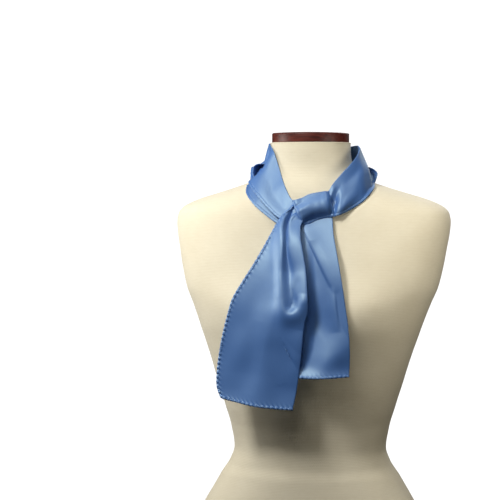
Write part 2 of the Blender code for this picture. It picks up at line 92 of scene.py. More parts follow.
# From behind the knot up the viewer's left, round the neck, down the right and across the knot,
# where the last rows turn under: x, y, z of the fold edge, x, y, z of the open edge, the bow between
# them and the distance off the form
BAND_ROWS = (
    (2, -86, 700, -17, -95, 671, 0.5, 4.8), (-14, -84, 703.5, -33, -93, 676, 1, 4.8),
    (-27, -71.5, 724, -52, -86, 689, 1.5, 2.4), (-40, -50, 752, -68, -77, 702, 2, 1.8),
    (-48, -38, 770, -81, -60, 716, 0, 1.8), (-56, -20, 781, -84, -44, 724, -3, 1.8),
    (-59.5, -3, 783, -82, -20, 736, -6, 1.8), (-60, 17, 782, -84, 6, 751, -8, 1.8),
    (-50, 40, 780, -82, 44, 738, -4, 1.8), (-27, 58.5, 778, -50, 84, 724, 3, 1.8),
    (0, 63.5, 777, 0, 94, 719, 5, 1.8), (28, 59, 778, 54, 84, 724, 3, 1.8),
    (52, 42, 779, 82, 47, 732, -4, 1.8), (65, 20, 780, 85, 16, 732, -4, 1.8),
    (71.3, -4, 778, 88, -14, 724, 0, 1.8), (72.4, -24, 769, 91, -40, 719, 3, 1.8),
    (67.1, -44, 757.3, 84, -66, 708, 3, 1.8), (54, -65, 741.3, 68.5, -81, 696, 3, 3),
    (43.1, -78, 727.3, 54, -91, 688, 2, 5), (36.5, -82, 716.5, 44, -92, 685, 0, 7),
    (31, -86.5, 716, 38, -94, 684, 6.5, 7), (22, -89.5, 714.5, 29, -95, 681.5, 8.5, 7),
    (11, -91, 712, 19, -95.5, 678, 9, 7), (1, -93.5, 707, 10, -98, 674.5, 8, 8.5),
    (-7, -95.5, 704.5, 4.5, -101, 672, 6, 9.5), (-11.3, -94, 703.6, 1.7, -100, 670, 3.5, 9),
    (-10.5, -90.5, 702, 2.5, -97, 669.5, 1.5, 7),
)

# The two ears where the strip turns from standing to lying: x, y, z of the rim, x, y, z of the place
# on the band that it grows from, and the bow between them
LEFT_EAR = (
    (-58, -31, 754.2, -50, -12, 752, 1), (-66, -30, 754.6, -56, -8, 750, 2),
    (-72.5, -29, 754, -61, -5, 748, 3), (-77, -28, 751, -64, -3, 745, 3.5),
    (-78.6, -28, 745, -66, -3, 741, 3.5), (-78.2, -29.5, 738.5, -67, -5, 737, 3),
    (-75, -33, 733.4, -66, -9, 733, 2), (-69, -38, 731, -62, -16, 731, 1),
)
RIGHT_EAR = (
    (79.5, -2, 751.2, 70, 2, 750, 1), (85.5, -5, 749.2, 75, 2, 748, 2),
    (91.4, -7, 746.6, 79, 0, 745, 3), (96.4, -8, 741.2, 82, -3, 741, 3),
    (95.3, -11, 733.6, 84, -8, 735, 3), (92.8, -17, 726, 85, -14, 728, 2),
    (89, -24, 720.6, 85.5, -22, 722, 1),
)

# How far forward the tails hang, out over the chest from the knot and then plumb: height and depth
HANG_ROWS = (
    (415, 140), (430, 138.8), (450, 137.2), (480, 135.2), (520, 133.4), (540, 132.4), (560, 131.3),
    (580, 129.8), (600, 127.4), (620, 123.6), (635, 119.4), (650, 114), (660, 109.6), (670, 104.6),
    (680, 99.4), (690, 94.6), (703, 88.6), (720, 80),
)

# The tails, seen from the front: x, z of the left edge, x, z of the right edge, sag, distance off
FRONT_ROWS = (
    (-9.5, 703, 4.5, 682, 0, 0), (-12, 698.5, 3, 676, 0, 0), (-15.5, 692, 1.6, 670.5, 0, 0),
    (-20, 687, 1.1, 665, 0, 0), (-26.2, 680, 1.5, 659, 0, 0), (-34.2, 666.5, 2.4, 650, 0, 0),
    (-43, 651.5, 5, 640, 0, 0), (-51.5, 635.5, 7.4, 629, 0, 0), (-60.2, 619.5, 10.4, 615.5, 0, 0),
    (-69, 605, 12.3, 602, 0, 0), (-79.5, 588, 14, 587, 0, 0), (-89.8, 569.5, 15.4, 570, 0, 0),
    (-94.5, 554, 15.4, 552, 0, 0), (-100.3, 531.5, 10, 534, 0, 0), (-104.5, 511.5, 8.4, 513, 0, 0),
    (-108.2, 488, 6.8, 492, 0, 0), (-110.2, 466, 4, 470, 0.5, 0), (-109.6, 449, 0.5, 446, 1.5, 0.4),
    (-103.6, 434, -4.3, 421, 3.3, 1),
)

BACK_ROWS = (
    (-17, 670.5, 3, 699.5, 0, -8), (-13, 664, 22, 702, 0, -8), (-9, 657, 36, 696, 0, -8),
    (-6, 649, 42, 682, 0, -8), (-6, 636, 45.5, 657, 0, -8), (-9, 618, 50, 638, 0, -6.5),
    (-14, 596, 55.5, 615, 0, -3.5), (-19, 572, 60.5, 590, 0, -0.5), (-24, 548, 65.5, 560, 0, 1),
    (-28, 522, 70, 531, 0, 1.5), (-30, 497, 72.3, 498, 0, 0.5), (-30, 466, 71.4, 466, 3, 0),
)

# Creases of the tails, walked from the knot down: x, z seen from the front, the height, and the
# widths to the walker's left and right hand
FRONT_CREASES = (
    # The broad fold down the left, which hooks under the pocket to the right edge
    (
        (-11, 697, 1, 1.6, 3), (-15.5, 688, 4, 2, 5), (-20.5, 678, 7, 2.4, 8), (-22.5, 666, 9, 3, 11),
        (-21.5, 648, 9.5, 3.4, 11.5), (-21.5, 625, 9.5, 4.5, 10), (-21.5, 602, 9.5, 7, 8.5),
        (-20.5, 585, 9.2, 9, 8), (-20, 571, 8.4, 10, 8), (-17.5, 558, 7.6, 8, 11),
        (-13, 551, 6.6, 8, 13), (-5, 549, 6, 7.5, 13), (3, 554, 5, 7, 11), (9, 564, 3, 7, 8),
        (12, 577, 0, 6, 8),
    ),
    # The fold beside the right edge: its crest, and the step where it rises from the valley
    (
        (-1, 676, 2, 6, 8), (0, 664, 5, 6, 11), (1.6, 650, 7, 6, 13), (4.6, 636, 7.5, 6, 14),
        (9.2, 616, 7.5, 7, 14), (11.2, 600, 8, 8, 14), (12.7, 585, 8, 8, 13), (14, 570, 7.5, 8, 12),
        (14, 560, 5.6, 8, 12), (13, 550, 3.2, 8, 12), (11, 538, 1.5, 8, 12), (9, 528, 0, 8, 12),
    ),
    (
        (-1.5, 685, 1, 5, 1.5), (-8, 680, 2.2, 6, 2.4), (-13.5, 669, 3, 8, 3.4),
        (-13.5, 656, 3.2, 9, 4), (-10.5, 636, 3, 9, 4.4), (-4.5, 616, 2.4, 8, 4.6),
        (-2.5, 604, 2, 8, 5), (-4, 591, 1.8, 8, 5), (0, 579, 1.4, 8, 5.5), (6, 569, 1, 7, 6),
        (10, 560, 0, 6, 6),
    ),
    # The valley between them
    (
        (-12, 692, 0, 1.8, 1.8), (-15, 684, -2.5, 2.2, 2.2), (-18, 670, -3, 2.6, 2.6),
        (-17.5, 656, -2, 3, 3), (-15, 640, 0, 4, 4),
    ),
    # A small pleat at the gather
    (
        (-5, 686, 0, 1.6, 1.2), (-9, 682, 2, 1.8, 1.3), (-13, 677, 2.2, 2, 1.4), (-16, 668, 0, 2, 1.6),
    ),
    # The belly that the pocket lies on, lit from above
    (
        (-52, 545, 0, 30, 40), (-40, 544, 0.6, 32, 42), (-28, 542, 2, 34, 44), (-15, 541, 4, 34, 44),
        (2, 542, 4.6, 34, 44), (15, 545, 3.6, 32, 42),
    ),
    # A low swell down the lower half, which turns the right part away from the light
    (
        (-66, 640, 0, 40, 34), (-65, 610, 0.2, 44, 34), (-63, 578, 1.2, 48, 34), (-61, 545, 3, 50, 36),
        (-59, 500, 4.6, 52, 38), (-58, 450, 5, 52, 38), (-58, 415, 4.4, 50, 36),
    ),
    # The hem's flare
    (
        (-112, 425, 2.2, 16, 16), (-80, 415, 2.8, 20, 20), (-40, 408, 2.8, 20, 20),
        (0, 405, 0.8, 18, 18),
    ),
    # Soft lines down the lower half
    (
        (-62, 600, 0, 10, 10), (-70, 560, 1.2, 13, 13), (-76, 515, 1, 14, 14), (-78, 470, 0, 14, 14),
    ),
    (
        (-50, 540, 0, 10, 10), (-55, 510, -1.2, 13, 13), (-60, 475, -1, 13, 13), (-64, 440, 0, 12, 12),
    ),
)

BACK_CREASES = (
    # The pressed diagonal crease
    (
        (2, 671, 1.5, 6, 1), (8.4, 658, 3, 12, 1.1), (17.5, 641, 3.2, 15, 1.2), (27, 624, 3, 16, 1.3),
        (38, 604, 2.2, 14, 1.6), (48, 586.6, 1, 10, 2), (53, 578, 0, 8, 2),
    ),
    # A short one beside the right edge
    (
        (47, 588, 0, 3, 6), (50.5, 574, 1.8, 2, 8), (52.5, 558, 2.6, 1.8, 11), (55, 540, 2, 2.4, 11),
        (57, 526, 0, 4, 10),
    ),
    # The broad swell above the hem, lit on its upper side
    (
        (74, 515, 1.5, 16, 24), (64, 508, 4.5, 20, 30), (52, 498, 7.5, 24, 36), (38, 488, 9.5, 28, 38),
        (24, 475, 8, 24, 34), (10, 464, 4.5, 14, 26), (-8, 458, 1.5, 10, 16),
    ),
    # The long hollow beside the front tail
    (
        (16, 648, 0, 7, 6), (21, 625, -4, 12, 8), (24.5, 600, -7, 17, 10), (26, 570, -8, 22, 11),
        (26, 535, -9, 22, 11), (24, 505, -9, 20, 11), (18, 482, -6, 16, 11), (12, 466, -2, 12, 10),
    ),
    # The hem's flare
    (
        (-20, 459, 4, 12, 9), (20, 458, 6, 13, 9), (50, 459, 6.5, 13, 9), (72, 461, 3.5, 12, 9),
    ),
)

# Creases of the band: the row, the share across from the fold, the height, and the widths to the
# walker's left and right hand
BAND_CREASES = (
    # The crossing's rounded rim, where the strip dives under it
    (
        (19.3, 0, 1.5, 1.5, 5), (19.35, 0.2, 3, 1.5, 7), (19.25, 0.5, 3.8, 1.6, 8),
        (19.05, 0.8, 3.2, 1.6, 8), (18.95, 0.97, 1.5, 1.8, 6),
    ),
    # The hollow beside it
    (
        (19.0, 0.3, 0, 8, 6), (18.7, 0.42, -4.5, 10, 6), (18.4, 0.53, -6.5, 11, 6.5),
        (18.15, 0.62, -4.5, 10, 6), (17.85, 0.72, 0, 8, 6),
    ),
    # The lit swell below it
    (
        (18.7, 1, 0, 6, 6), (18.2, 0.93, 2.4, 6, 6), (17.7, 0.88, 3.2, 7, 6), (17.1, 0.84, 2, 8, 7),
        (16.3, 0.8, 0, 8, 8),
    ),
    # The crossing rolls under along its lower edge and is pinched at its left end
    (
        (19.8, 1, -0.3, 5, 5), (21, 1, -1.2, 6, 6), (23, 1, -1.2, 6, 6), (25, 1, -0.9, 5, 5),
    ),
    (
        (24.8, 0.6, 0, 2.5, 2.5), (23.9, 0.52, 1.3, 2.4, 3), (22.8, 0.5, 1.2, 3, 3.5),
        (21.6, 0.55, 0, 4, 4),
    ),
    (
        (24.9, 0.28, 0, 2, 2), (24.2, 0.25, -1.5, 2, 2.4), (23.4, 0.22, -0.8, 2.4, 3),
        (22.8, 0.2, 0, 3, 3),
    ),
    # The hollow behind the front panel's rounded edge, on the viewer's left
    (
        (4.75, 0.02, -1.5, 4, 8), (4.7, 0.18, -5, 5, 12), (4.6, 0.34, -8, 6, 16),
        (4.6, 0.5, -10, 7, 18), (4.7, 0.64, -10, 7, 18), (4.9, 0.74, -6, 7, 16),
    ),
    (
        (4.1, 0.02, 0.6, 12, 4), (4, 0.2, 1, 16, 4), (3.8, 0.4, 1.2, 18, 4), (3.9, 0.6, 1.2, 18, 4),
        (4.2, 0.72, 0.8, 16, 4),
    ),
    # The panel's rounded edge and the hollow behind it, on the viewer's right
    (
        (14.2, 0.05, 1, 3, 6), (14.3, 0.3, 2, 3.4, 8), (14.7, 0.6, 2.6, 3.4, 9), (15, 0.9, 1.5, 3.4, 8),
    ),
    (
        (13.4, 0.3, -2, 9, 4), (13.6, 0.5, -6, 12, 5), (13.9, 0.7, -7, 13, 5), (14.1, 0.9, -5, 12, 5),
    ),
    # Long soft creases round the neck, on the sides and the back
    (
        (1, 0.45, 0, 7, 7), (2, 0.5, -1.2, 9, 9), (3, 0.42, 0, 8, 8),
    ),
    (
        (7.5, 0.3, 0, 5, 5), (8.6, 0.34, 2, 6, 7), (10.2, 0.42, 2.6, 7, 9), (12.2, 0.36, 0, 6, 8),
    ),
    (
        (8, 0.62, 0, 6, 6), (9.2, 0.66, -2, 7, 6), (11, 0.62, -1.6, 7, 7), (12.8, 0.7, 0, 6, 6),
    ),
    (
        (8.8, 0.85, 0, 5, 5), (10.4, 0.84, 1.8, 6, 6), (12.4, 0.9, 0, 6, 6),
    ),
    (
        (15.4, 0.3, 0, 8, 8), (16.2, 0.3, -1.4, 9, 9), (17.6, 0.28, 0, 8, 8),
    ),
)


def smoothstep(value: np.ndarray, low: float | np.ndarray, high: float | np.ndarray) -> np.ndarray:
    """Rises softly from 0 at low to 1 at high: 3t^2 - 2t^3 of the clipped share t."""
    t = np.clip((value - low) / (high - low), 0.0, 1.0)
    return t * t * (3.0 - 2.0 * t)


def bell(value: np.ndarray, centre: float, width: float) -> np.ndarray:
    """A bell of height 1 round centre: e to the minus square of the scaled distance."""
    return np.exp(-(((value - centre) / width) ** 2))


def soft_max(a: np.ndarray, b: np.ndarray | float, softness: float) -> np.ndarray:
    """The larger of two values, rounded where they cross: half of sum plus rounded difference."""
    return 0.5 * (a + b + np.sqrt((a - b) ** 2 + softness**2))


def unit(vectors: np.ndarray) -> np.ndarray:
    """Vectors scaled to length 1."""
    return vectors / np.maximum(np.linalg.norm(vectors, axis=-1, keepdims=True), 1e-12)


def turns(count: int) -> np.ndarray:
    """Evenly spaced angles once round, from 0."""
    return np.linspace(0, 2 * math.pi, count, endpoint=False)


def turned(reach: np.ndarray, z: np.ndarray | float, angle: np.ndarray) -> np.ndarray:
    """A profile carried round the upright axis: x = reach cos, y = reach sin, at height z."""
    return np.stack([reach * np.cos(angle), reach * np.sin(angle), z + 0 * reach * angle], -1)


def grid_normals(points: np.ndarray) -> np.ndarray:
    """A grid's unit normals: its steps along crossed with its steps across."""
    return unit(np.cross(np.gradient(points, axis=0), np.gradient(points, axis=1)))


class Curves:
    """Smooth curves through the columns of a table, with no overshoot between its rows."""

    def __init__(self, rows: Table) -> None:
        """Takes the slope at a row as the harmonic mean of the steps on its two sides.

        Args:
            rows: the table, whose first column rises.
        """
        table = np.array(rows, float)
        self.keys, self.values = table[:, 0], table[:, 1:]
        steps = np.diff(self.values, axis=0) / np.diff(self.keys)[:, None]
        product = steps[:-1] * steps[1:]
        total = steps[:-1] + steps[1:]
        inner = np.where(product > 0, 2 * product / np.where(total == 0, 1, total), 0.0)
        self.slopes = np.vstack([steps[:1], inner, steps[-1:]])

    def at(self, key: np.ndarray) -> np.ndarray:
        """Evaluates the cubic Hermite curve through the rows.

        Args:
            key: values of the first column.

        Returns:
            The other columns, one after another along the first axis.
        """
        key = np.clip(key, self.keys[0], self.keys[-1])
        i = np.clip(np.searchsorted(self.keys, key, side="right") - 1, 0, len(self.keys) - 2)
        span = self.keys[i + 1] - self.keys[i]
        t = ((key - self.keys[i]) / span)[..., None]
        span = span[..., None]
        start = (1 + 2 * t) * (1 - t) ** 2 * self.values[i]
        end = t * t * (3 - 2 * t) * self.values[i + 1]
        leave = span * t * (1 - t) ** 2 * self.slopes[i]
        arrive = span * t * t * (t - 1) * self.slopes[i + 1]
        return np.moveaxis(start + end + leave + arrive, -1, 0)


class Spline:
    """A Catmull-Rom curve through rows of numbers, one unit of its parameter to each gap."""

    def __init__(self, rows: Table) -> None:
        """Repeats the end rows, so that the curve starts and ends on them.

        Args:
            rows: the rows it passes through.
        """
        table = np.array(rows, float)
        self.padded = np.vstack([table[:1], table, table[-1:]])
        self.last = len(table) - 1

    def at(self, t: np.ndarray) -> np.ndarray:
        """Evaluates the curve.

        Args:
            t: places along it, from 0 to the number of gaps.

        Returns:
            The columns, one after another along the first axis.
        """
        i = np.clip(np.floor(t).astype(int), 0, self.last - 1)
        f = (np.clip(t, 0, self.last) - i)[..., None]
        p, q, r, s = (self.padded[i + k] for k in range(4))
        curve = 0.5 * (
            2 * q + (r - p) * f + (2 * p - 5 * q + 4 * r - s) * f**2
            + (3 * q - p - 3 * r + s) * f**3
        )
        return np.moveaxis(curve, -1, 0)


@dataclass(frozen=True)
class Ripple:
    """Low uneven waves over a cloth: a sum of sines in seeded directions."""

    seed: int
    height: float
    shortest: float
    longest: float
    waves: int = 7
    phases: float = 6.28

    def at(self, a: np.ndarray, b: np.ndarray) -> np.ndarray:
        """Adds sines of seeded direction, length and phase, scaled to the stated height.

        Args:
            a: places along one side of the cloth, mm.
            b: places along the other, mm.

        Returns:
            The height there, mm.
        """
        rng = np.random.default_rng(self.seed)
        total = np.zeros(np.broadcast(a, b).shape)
        for _ in range(self.waves):
            turn = rng.uniform(0, math.pi)
            length = rng.uniform(self.shortest, self.longest)
            phase = rng.uniform(0, self.phases)
            total += np.sin(2 * math.pi * (a * math.cos(turn) + b * math.sin(turn)) / length + phase)
        return self.height * total / math.sqrt(self.waves)


class Crease:
    """A soft ridge or trough along a smooth path over a cloth."""

    STEPS = 10
    REACH = 3.2

    def __init__(self, path: Table) -> None:
        """Keeps the smooth path as short straight pieces.

        Args:
            path: rows of place a, place b, height, and width to the walker's left and right hand.
        """
        spline = Spline(path)
        self.points = spline.at(np.linspace(0, spline.last, spline.last * self.STEPS + 1)).T

    def height(self, a: np.ndarray, b: np.ndarray) -> np.ndarray:
        """Height = h(foot) * exp(-(distance / width)^2), from the nearest foot on the path.

        Args:
            a: places along one side of the cloth, mm.
            b: places along the other, mm.

        Returns:
            How far the crease lifts the cloth there, mm.
        """
        start, step = self.points[:-1], np.diff(self.points, axis=0)
        size = np.maximum((step[:, :2] ** 2).sum(1), 1e-9)
        reach = self.REACH * self.points[:, 3:].max()
        low, high = self.points[:, :2].min(0) - reach, self.points[:, :2].max(0) + reach
        near = (a > low[0]) & (a < high[0]) & (b > low[1]) & (b < high[1])
        p = np.stack([a[near], b[near]], -1)
        offset = p[:, None] - start[None, :, :2]
        share = np.clip((offset * step[:, :2]).sum(-1) / size, 0, 1)
        distance = np.sqrt(((offset - share[..., None] * step[:, :2]) ** 2).sum(-1))
        foot = distance.argmin(1)
        pick = np.arange(len(p)), foot
        values = start[foot] + share[pick][:, None] * step[foot]
        side = step[foot, 0] * offset[pick][:, 1] - step[foot, 1] * offset[pick][:, 0]
        width = np.where(side > 0, values[:, 3], values[:, 4])
        total = np.zeros(a.shape)
        total[near] = values[:, 2] * np.exp(-((distance[pick] / width) ** 2))
        return total


@dataclass(frozen=True)
class FormShape:
    """The form's surface: level sections |x/half|^n + |y/depth|^n = 1, with two soft mounds."""

    bust_x: float = 76.0
    bust_z: float = 548.0
    bust_width: float = 44.0
    bust_tall: float = 46.0
    bust_depth: float = 15.0
    curves: Curves = field(default_factory=lambda: Curves(FORM_SECTIONS))

    def bust(self, x: np.ndarray, z: np.ndarray) -> np.ndarray:
        """How far the mounds stand proud: a bell across on each side times a bell in height."""
        across = bell(x, self.bust_x, self.bust_width) + bell(x, -self.bust_x, self.bust_width)
        return self.bust_depth * across * bell(z, self.bust_z, self.bust_tall)

    def field(self, p: np.ndarray) -> np.ndarray:
        """The distance as a share of the section, less 1: 0 on the surface and more outside it.

        Args:
            p: points, mm.

        Returns:
            (|x/half|^n + |y/depth|^n)^(1/n) - 1 at each point.
        """
        half, front, back, power, widest = self.curves.at(p[..., 2])
        y = p[..., 1] - widest
        depth = np.where(y > 0, back - widest, front + widest + self.bust(p[..., 0], p[..., 2]))
        return ((np.abs(p[..., 0]) / half) ** power + (np.abs(y) / depth) ** power) ** (1 / power) - 1

    def slope(self, p: np.ndarray) -> np.ndarray:
        """The field's slope by central differences, which points away from the form."""
        return np.stack([self.field(p + s) - self.field(p - s) for s in 0.5 * np.eye(3)], -1)

    def push_out(self, p: np.ndarray, off: np.ndarray | float, softness: float = 0.8) -> np.ndarray:
        """Moves points straight out until they are at least off from the form.

        Args:
            p: points, mm.
            off: the least distance, mm.
            softness: how softly the least distance takes hold, mm.

        Returns:
            The moved points.
        """
        for _ in range(4):
            slope = self.slope(p)
            distance = self.field(p) / np.linalg.norm(slope, axis=-1)
            p = p + unit(slope) * (soft_max(off - distance, 0.0, softness) - softness / 2)[..., None]
            softness = softness / 2
        return p


def grid_faces(rows: int, columns: int, wrap: bool) -> np.ndarray:
    """Quads of a grid of points, row by row.

    Args:
        rows: how many rows.
        columns: how many columns.
        wrap: joins the last column to the first.

    Returns:
        Four point numbers for each quad.
    """
    i, j = np.meshgrid(np.arange(rows - 1), np.arange(columns if wrap else columns - 1), indexing="ij")
    low, high = i * columns, (i + 1) * columns
    right = (j + 1) % columns
    return np.stack([low + j, low + right, high + right, high + j], -1).reshape(-1, 4)


def cloth_uv(points: np.ndarray, wrap: bool) -> np.ndarray:
    """Flat places on the cloth, in metres: the mean length across and along its grid.

    Args:
        points: the grid, rows by columns by 3, mm.
        wrap: adds a column for the seam of a closed grid.

    Returns:
        A grid of (across, along), with one more column if wrap is set.
    """
    closed = np.concatenate([points, points[:, :1]], 1) if wrap else points
    across = np.linalg.norm(np.diff(closed, axis=1), axis=-1).mean(0)
    along = np.linalg.norm(np.diff(closed, axis=0), axis=-1).mean(1)
    sides = (np.concatenate([[0], np.cumsum(side)]) * MM for side in (across, along))
    return np.stack(np.meshgrid(*sides), -1)


def mesh_object(name: str, points: np.ndarray, faces: list, corners: np.ndarray) -> bpy.types.Object:
    """Makes a smooth mesh object at the origin.

    Args:
        name: the piece's name.
        points: its points, mm.
        faces: the point numbers of each face.
        corners: a flat place for each corner of each face, in metres.

    Returns:
        The object.
    """
    mesh = bpy.data.meshes.new(name)
    mesh.from_pydata((points * MM).tolist(), [], faces)
    layer = mesh.uv_layers.new(name=UV_NAME)
    layer.data.foreach_set("uv", corners.astype(np.float32).ravel())
    mesh.shade_smooth()
    obj = bpy.data.objects.new(name, mesh)
    bpy.context.scene.collection.objects.link(obj)
    return obj


def surface(
    name: str, points: np.ndarray, uv: np.ndarray | None = None, wrap: bool = False, caps: bool = False,
) -> bpy.types.Object:
    """Makes one mesh object from a grid of points.

    Args:
        name: the piece's name.
        points: the grid, rows by columns by 3, mm.
        uv: places on the cloth for each point, with one more column if wrap is set.
        wrap: joins the last column to the first.
        caps: closes the first and last rows of a wrapped grid.

    Returns:
        The object.
    """
    rows, columns = points.shape[:2]
    flat = points.reshape(-1, 3)
    faces = grid_faces(rows, columns, wrap).tolist()
    uv = cloth_uv(points, wrap) if uv is None else uv
    corners = uv.reshape(-1, 2)[grid_faces(rows, uv.shape[1], False)].reshape(-1, 2)
    for row, order in ((0, -1), (rows - 1, 1)) if caps else ():
        ring = np.arange(columns)[::order] + row * columns
        faces.append(ring.tolist())
        corners = np.vstack([corners, flat[ring][:, :2] * MM])
    return mesh_object(name, flat, faces, corners)


def joined(name: str, objects: Sequence[bpy.types.Object]) -> bpy.types.Object:
    """Joins objects into the first of them.

    Args:
        name: the name of the joined piece.
        objects: the pieces, which are used up.

    Returns:
        The joined piece.
    """
    with bpy.context.temp_override(active_object=objects[0], selected_editable_objects=list(objects)):
        bpy.ops.object.join()
    objects[0].name = objects[0].data.name = name
    return objects[0]


def thicken(piece: bpy.types.Object, thickness: float) -> None:
    """Gives a sheet its thickness, in mm, half to each side.

    Args:
        piece: the sheet.
        thickness: how thick it becomes.
    """
    solid = piece.modifiers.new("satin", "SOLIDIFY")
    solid.thickness = thickness * MM
    solid.offset = 0.0


def place(
    piece: bpy.types.Object, slot: str, material: bpy.types.Material, nodes: Sequence[str] = (),
) -> None:
    """Dresses a piece and ties it to the frame.

    Args:
        piece: the finished piece.
        slot: not used.
        material: its finish.
        nodes: the solids it stands for.
    """
    piece.data.materials.clear()
    piece.data.materials.append(material)
    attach(piece, BODY)
    if nodes:
        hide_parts(*nodes)
    LOG.info("%s: %d faces", piece.name, len(piece.data.polygons))


class Graph:
    """A node tree being built, for a material, a world or a group."""

    def __init__(self, tree: bpy.types.NodeTree) -> None:
        """Empties the tree."""
        self.tree = tree
        tree.nodes.clear()

    def feed(self, socket: bpy.types.NodeSocket, value: object) -> None:
        """Links an output socket to an input, or sets the input's value.

        Args:
            socket: the input.
            value: an output socket or a plain value.
        """
        if isinstance(value, bpy.types.NodeSocket):
            self.tree.links.new(value, socket)
        else:
            socket.default_value = value

    def node(self, kind: str, settings: dict | None = None, **inputs: object) -> bpy.types.Node:
        """Adds a node.

        Args:
            kind: Blender's name for the node type.
            settings: the node's own properties.
            inputs: a value or an output socket for each input, by name with _ for a space, or by
                number as i0, i1 and so on.

        Returns:
            The node.
        """
        made = self.tree.nodes.new(kind)
        for key, value in (settings or {}).items():
            setattr(made, key, value)
        for key, value in inputs.items():
            number = key[1:].isdigit() and key[0] == "i"
            self.feed(made.inputs[int(key[1:]) if number else key.replace("_", " ")], value)
        return made

    def math(self, operation: str, a: object, b: object = 0.0, c: object = 0.0) -> bpy.types.NodeSocket:
        """One step of arithmetic, as an output socket."""
        return self.node("ShaderNodeMath", {"operation": operation}, i0=a, i1=b, i2=c).outputs[0]

    def ramp(
        self, factor: object, low: float, high: float, start: float = 0.0, end: float = 1.0,
    ) -> bpy.types.NodeSocket:
        """Maps low..high to start..end, clipped, as an output socket."""
        span = {"i1": low, "i2": high, "i3": start, "i4": end}
        return self.node("ShaderNodeMapRange", {"clamp": True}, i0=factor, **span).outputs[0]

    def mix(self, factor: object, a: object, b: object) -> bpy.types.NodeSocket:
        """Mixes two colours, as an output socket."""
        return self.node("ShaderNodeMix", {"data_type": "RGBA"}, i0=factor, i6=a, i7=b).outputs[2]

    def noise(self, place: object, stretch: tuple[float, ...], **inputs: float) -> bpy.types.NodeSocket:
        """Noise on a place that is first scaled by stretch, as an output socket."""
        scaled = self.node("ShaderNodeMapping", Vector=place, Scale=stretch).outputs[0]
        return self.node("ShaderNodeTexNoise", Vector=scaled, Scale=1.0, **inputs).outputs[0]

    def group(self, tree: bpy.types.NodeTree, **inputs: object) -> bpy.types.bpy_prop_collection:
        """A shared group's output sockets, by name."""
        return self.node("ShaderNodeGroup", {"node_tree": tree}, **inputs).outputs


class GroupGraph(Graph):
    """A shader node group being built, which takes a place on a piece and some sizes."""

    def __init__(self, name: str, sizes: dict[str, float], outputs: Sequence[str]) -> None:
        """Makes the group with its named inputs, Place first, and its outputs.

        Args:
            name: the group's name.
            sizes: the default of each other input.
            outputs: the names of its values.
        """
        super().__init__(bpy.data.node_groups.new(name, "ShaderNodeTree"))
        sockets = self.tree.interface
        sockets.new_socket("Place", in_out="INPUT", socket_type="NodeSocketVector")
        for label, default in sizes.items():
            made = sockets.new_socket(label, in_out="INPUT", socket_type="NodeSocketFloat")
            made.default_value = default
        for label in outputs:
            sockets.new_socket(label, in_out="OUTPUT", socket_type="NodeSocketFloat")
        self.entry = self.node("NodeGroupInput").outputs
        self.leave = self.node("NodeGroupOutput").inputs


def floats_group() -> bpy.types.NodeTree:
    """Satin's long surface threads: thin bricks along the strip, with uneven slubs.

    Returns:
        A group from a place on the cloth to a height and a shade.
    """
    graph = GroupGraph("satin_floats", {"Thread": 0.0003}, ["Height", "Shade"])
    scale = graph.math("DIVIDE", 1.0, graph.entry["Thread"])
    threads = graph.node("ShaderNodeVectorMath", {"operation": "SCALE"}, i0=graph.entry["Place"], Scale=scale)
    across = graph.node("ShaderNodeMapping", Vector=threads.outputs[0], Rotation=(0, 0, math.pi / 2))
    brick = graph.node(
        "ShaderNodeTexBrick", {"offset": 0.4, "offset_frequency": 2}, Vector=across.outputs[0],
        Scale=1.0, Mortar_Size=0.12, Mortar_Smooth=1.0, Brick_Width=5.0, Row_Height=1.0,
    )
    slub = graph.noise(graph.entry["Place"], (2600, 160, 1), Detail=2.0)
    graph.feed(graph.leave["Height"], graph.math("SUBTRACT", slub, brick.outputs["Fac"]))
    graph.feed(graph.leave["Shade"], slub)
    return graph.tree


def knit_group() -> bpy.types.NodeTree:
    """Fine jersey: upright wales of slanting stitches, in level courses.

    Returns:
        A group from a place on the cloth to a height and a shade; the shade is low in the gaps between
        stitches, where the jersey takes painted shade.
    """
    graph = GroupGraph("jersey_knit", {"Wale": 0.0016, "Course": 0.0012}, ["Height", "Shade"])
    x, y, _ = graph.node("ShaderNodeSeparateXYZ", Vector=graph.entry["Place"]).outputs
    wale = graph.math("PINGPONG", graph.math("DIVIDE", x, graph.entry["Wale"]), 0.5)
    across = graph.math("SINE", graph.math("MULTIPLY", wale, 2 * math.pi))
    slant = graph.math("MULTIPLY_ADD", wale, 0.9, graph.math("DIVIDE", y, graph.entry["Course"]))
    stitch = graph.math("SINE", graph.math("MULTIPLY", slant, 2 * math.pi))
    height = graph.math("MULTIPLY_ADD", stitch, 0.35, across)
    graph.feed(graph.leave["Height"], height)
    # Painted shade: the shade output is low in the gaps between stitches, and the jersey darkens its colour
    # there.
    graph.feed(graph.leave["Shade"], graph.ramp(height, -0.3, 1.2))
    return graph.tree


def mottle_group() -> bpy.types.NodeTree:
    """Soft cloudy unevenness of a finish.

    Returns:
        A group from a place to a value that wanders round 0.5.
    """
    graph = GroupGraph("mottle", {"Size": 0.03}, ["Value"])
    scale = graph.math("DIVIDE", 1.0, graph.entry["Size"])
    noise = graph.node(
        "ShaderNodeTexNoise", Vector=graph.entry["Place"], Scale=scale, Detail=3.0, Roughness=0.55,
    )
    graph.feed(graph.leave["Value"], noise.outputs[0])
    return graph.tree


class Groups:
    """The shared node groups, each built once."""

    def __init__(self) -> None:
        """Builds the groups."""
        self.floats, self.knit, self.mottle = floats_group(), knit_group(), mottle_group()


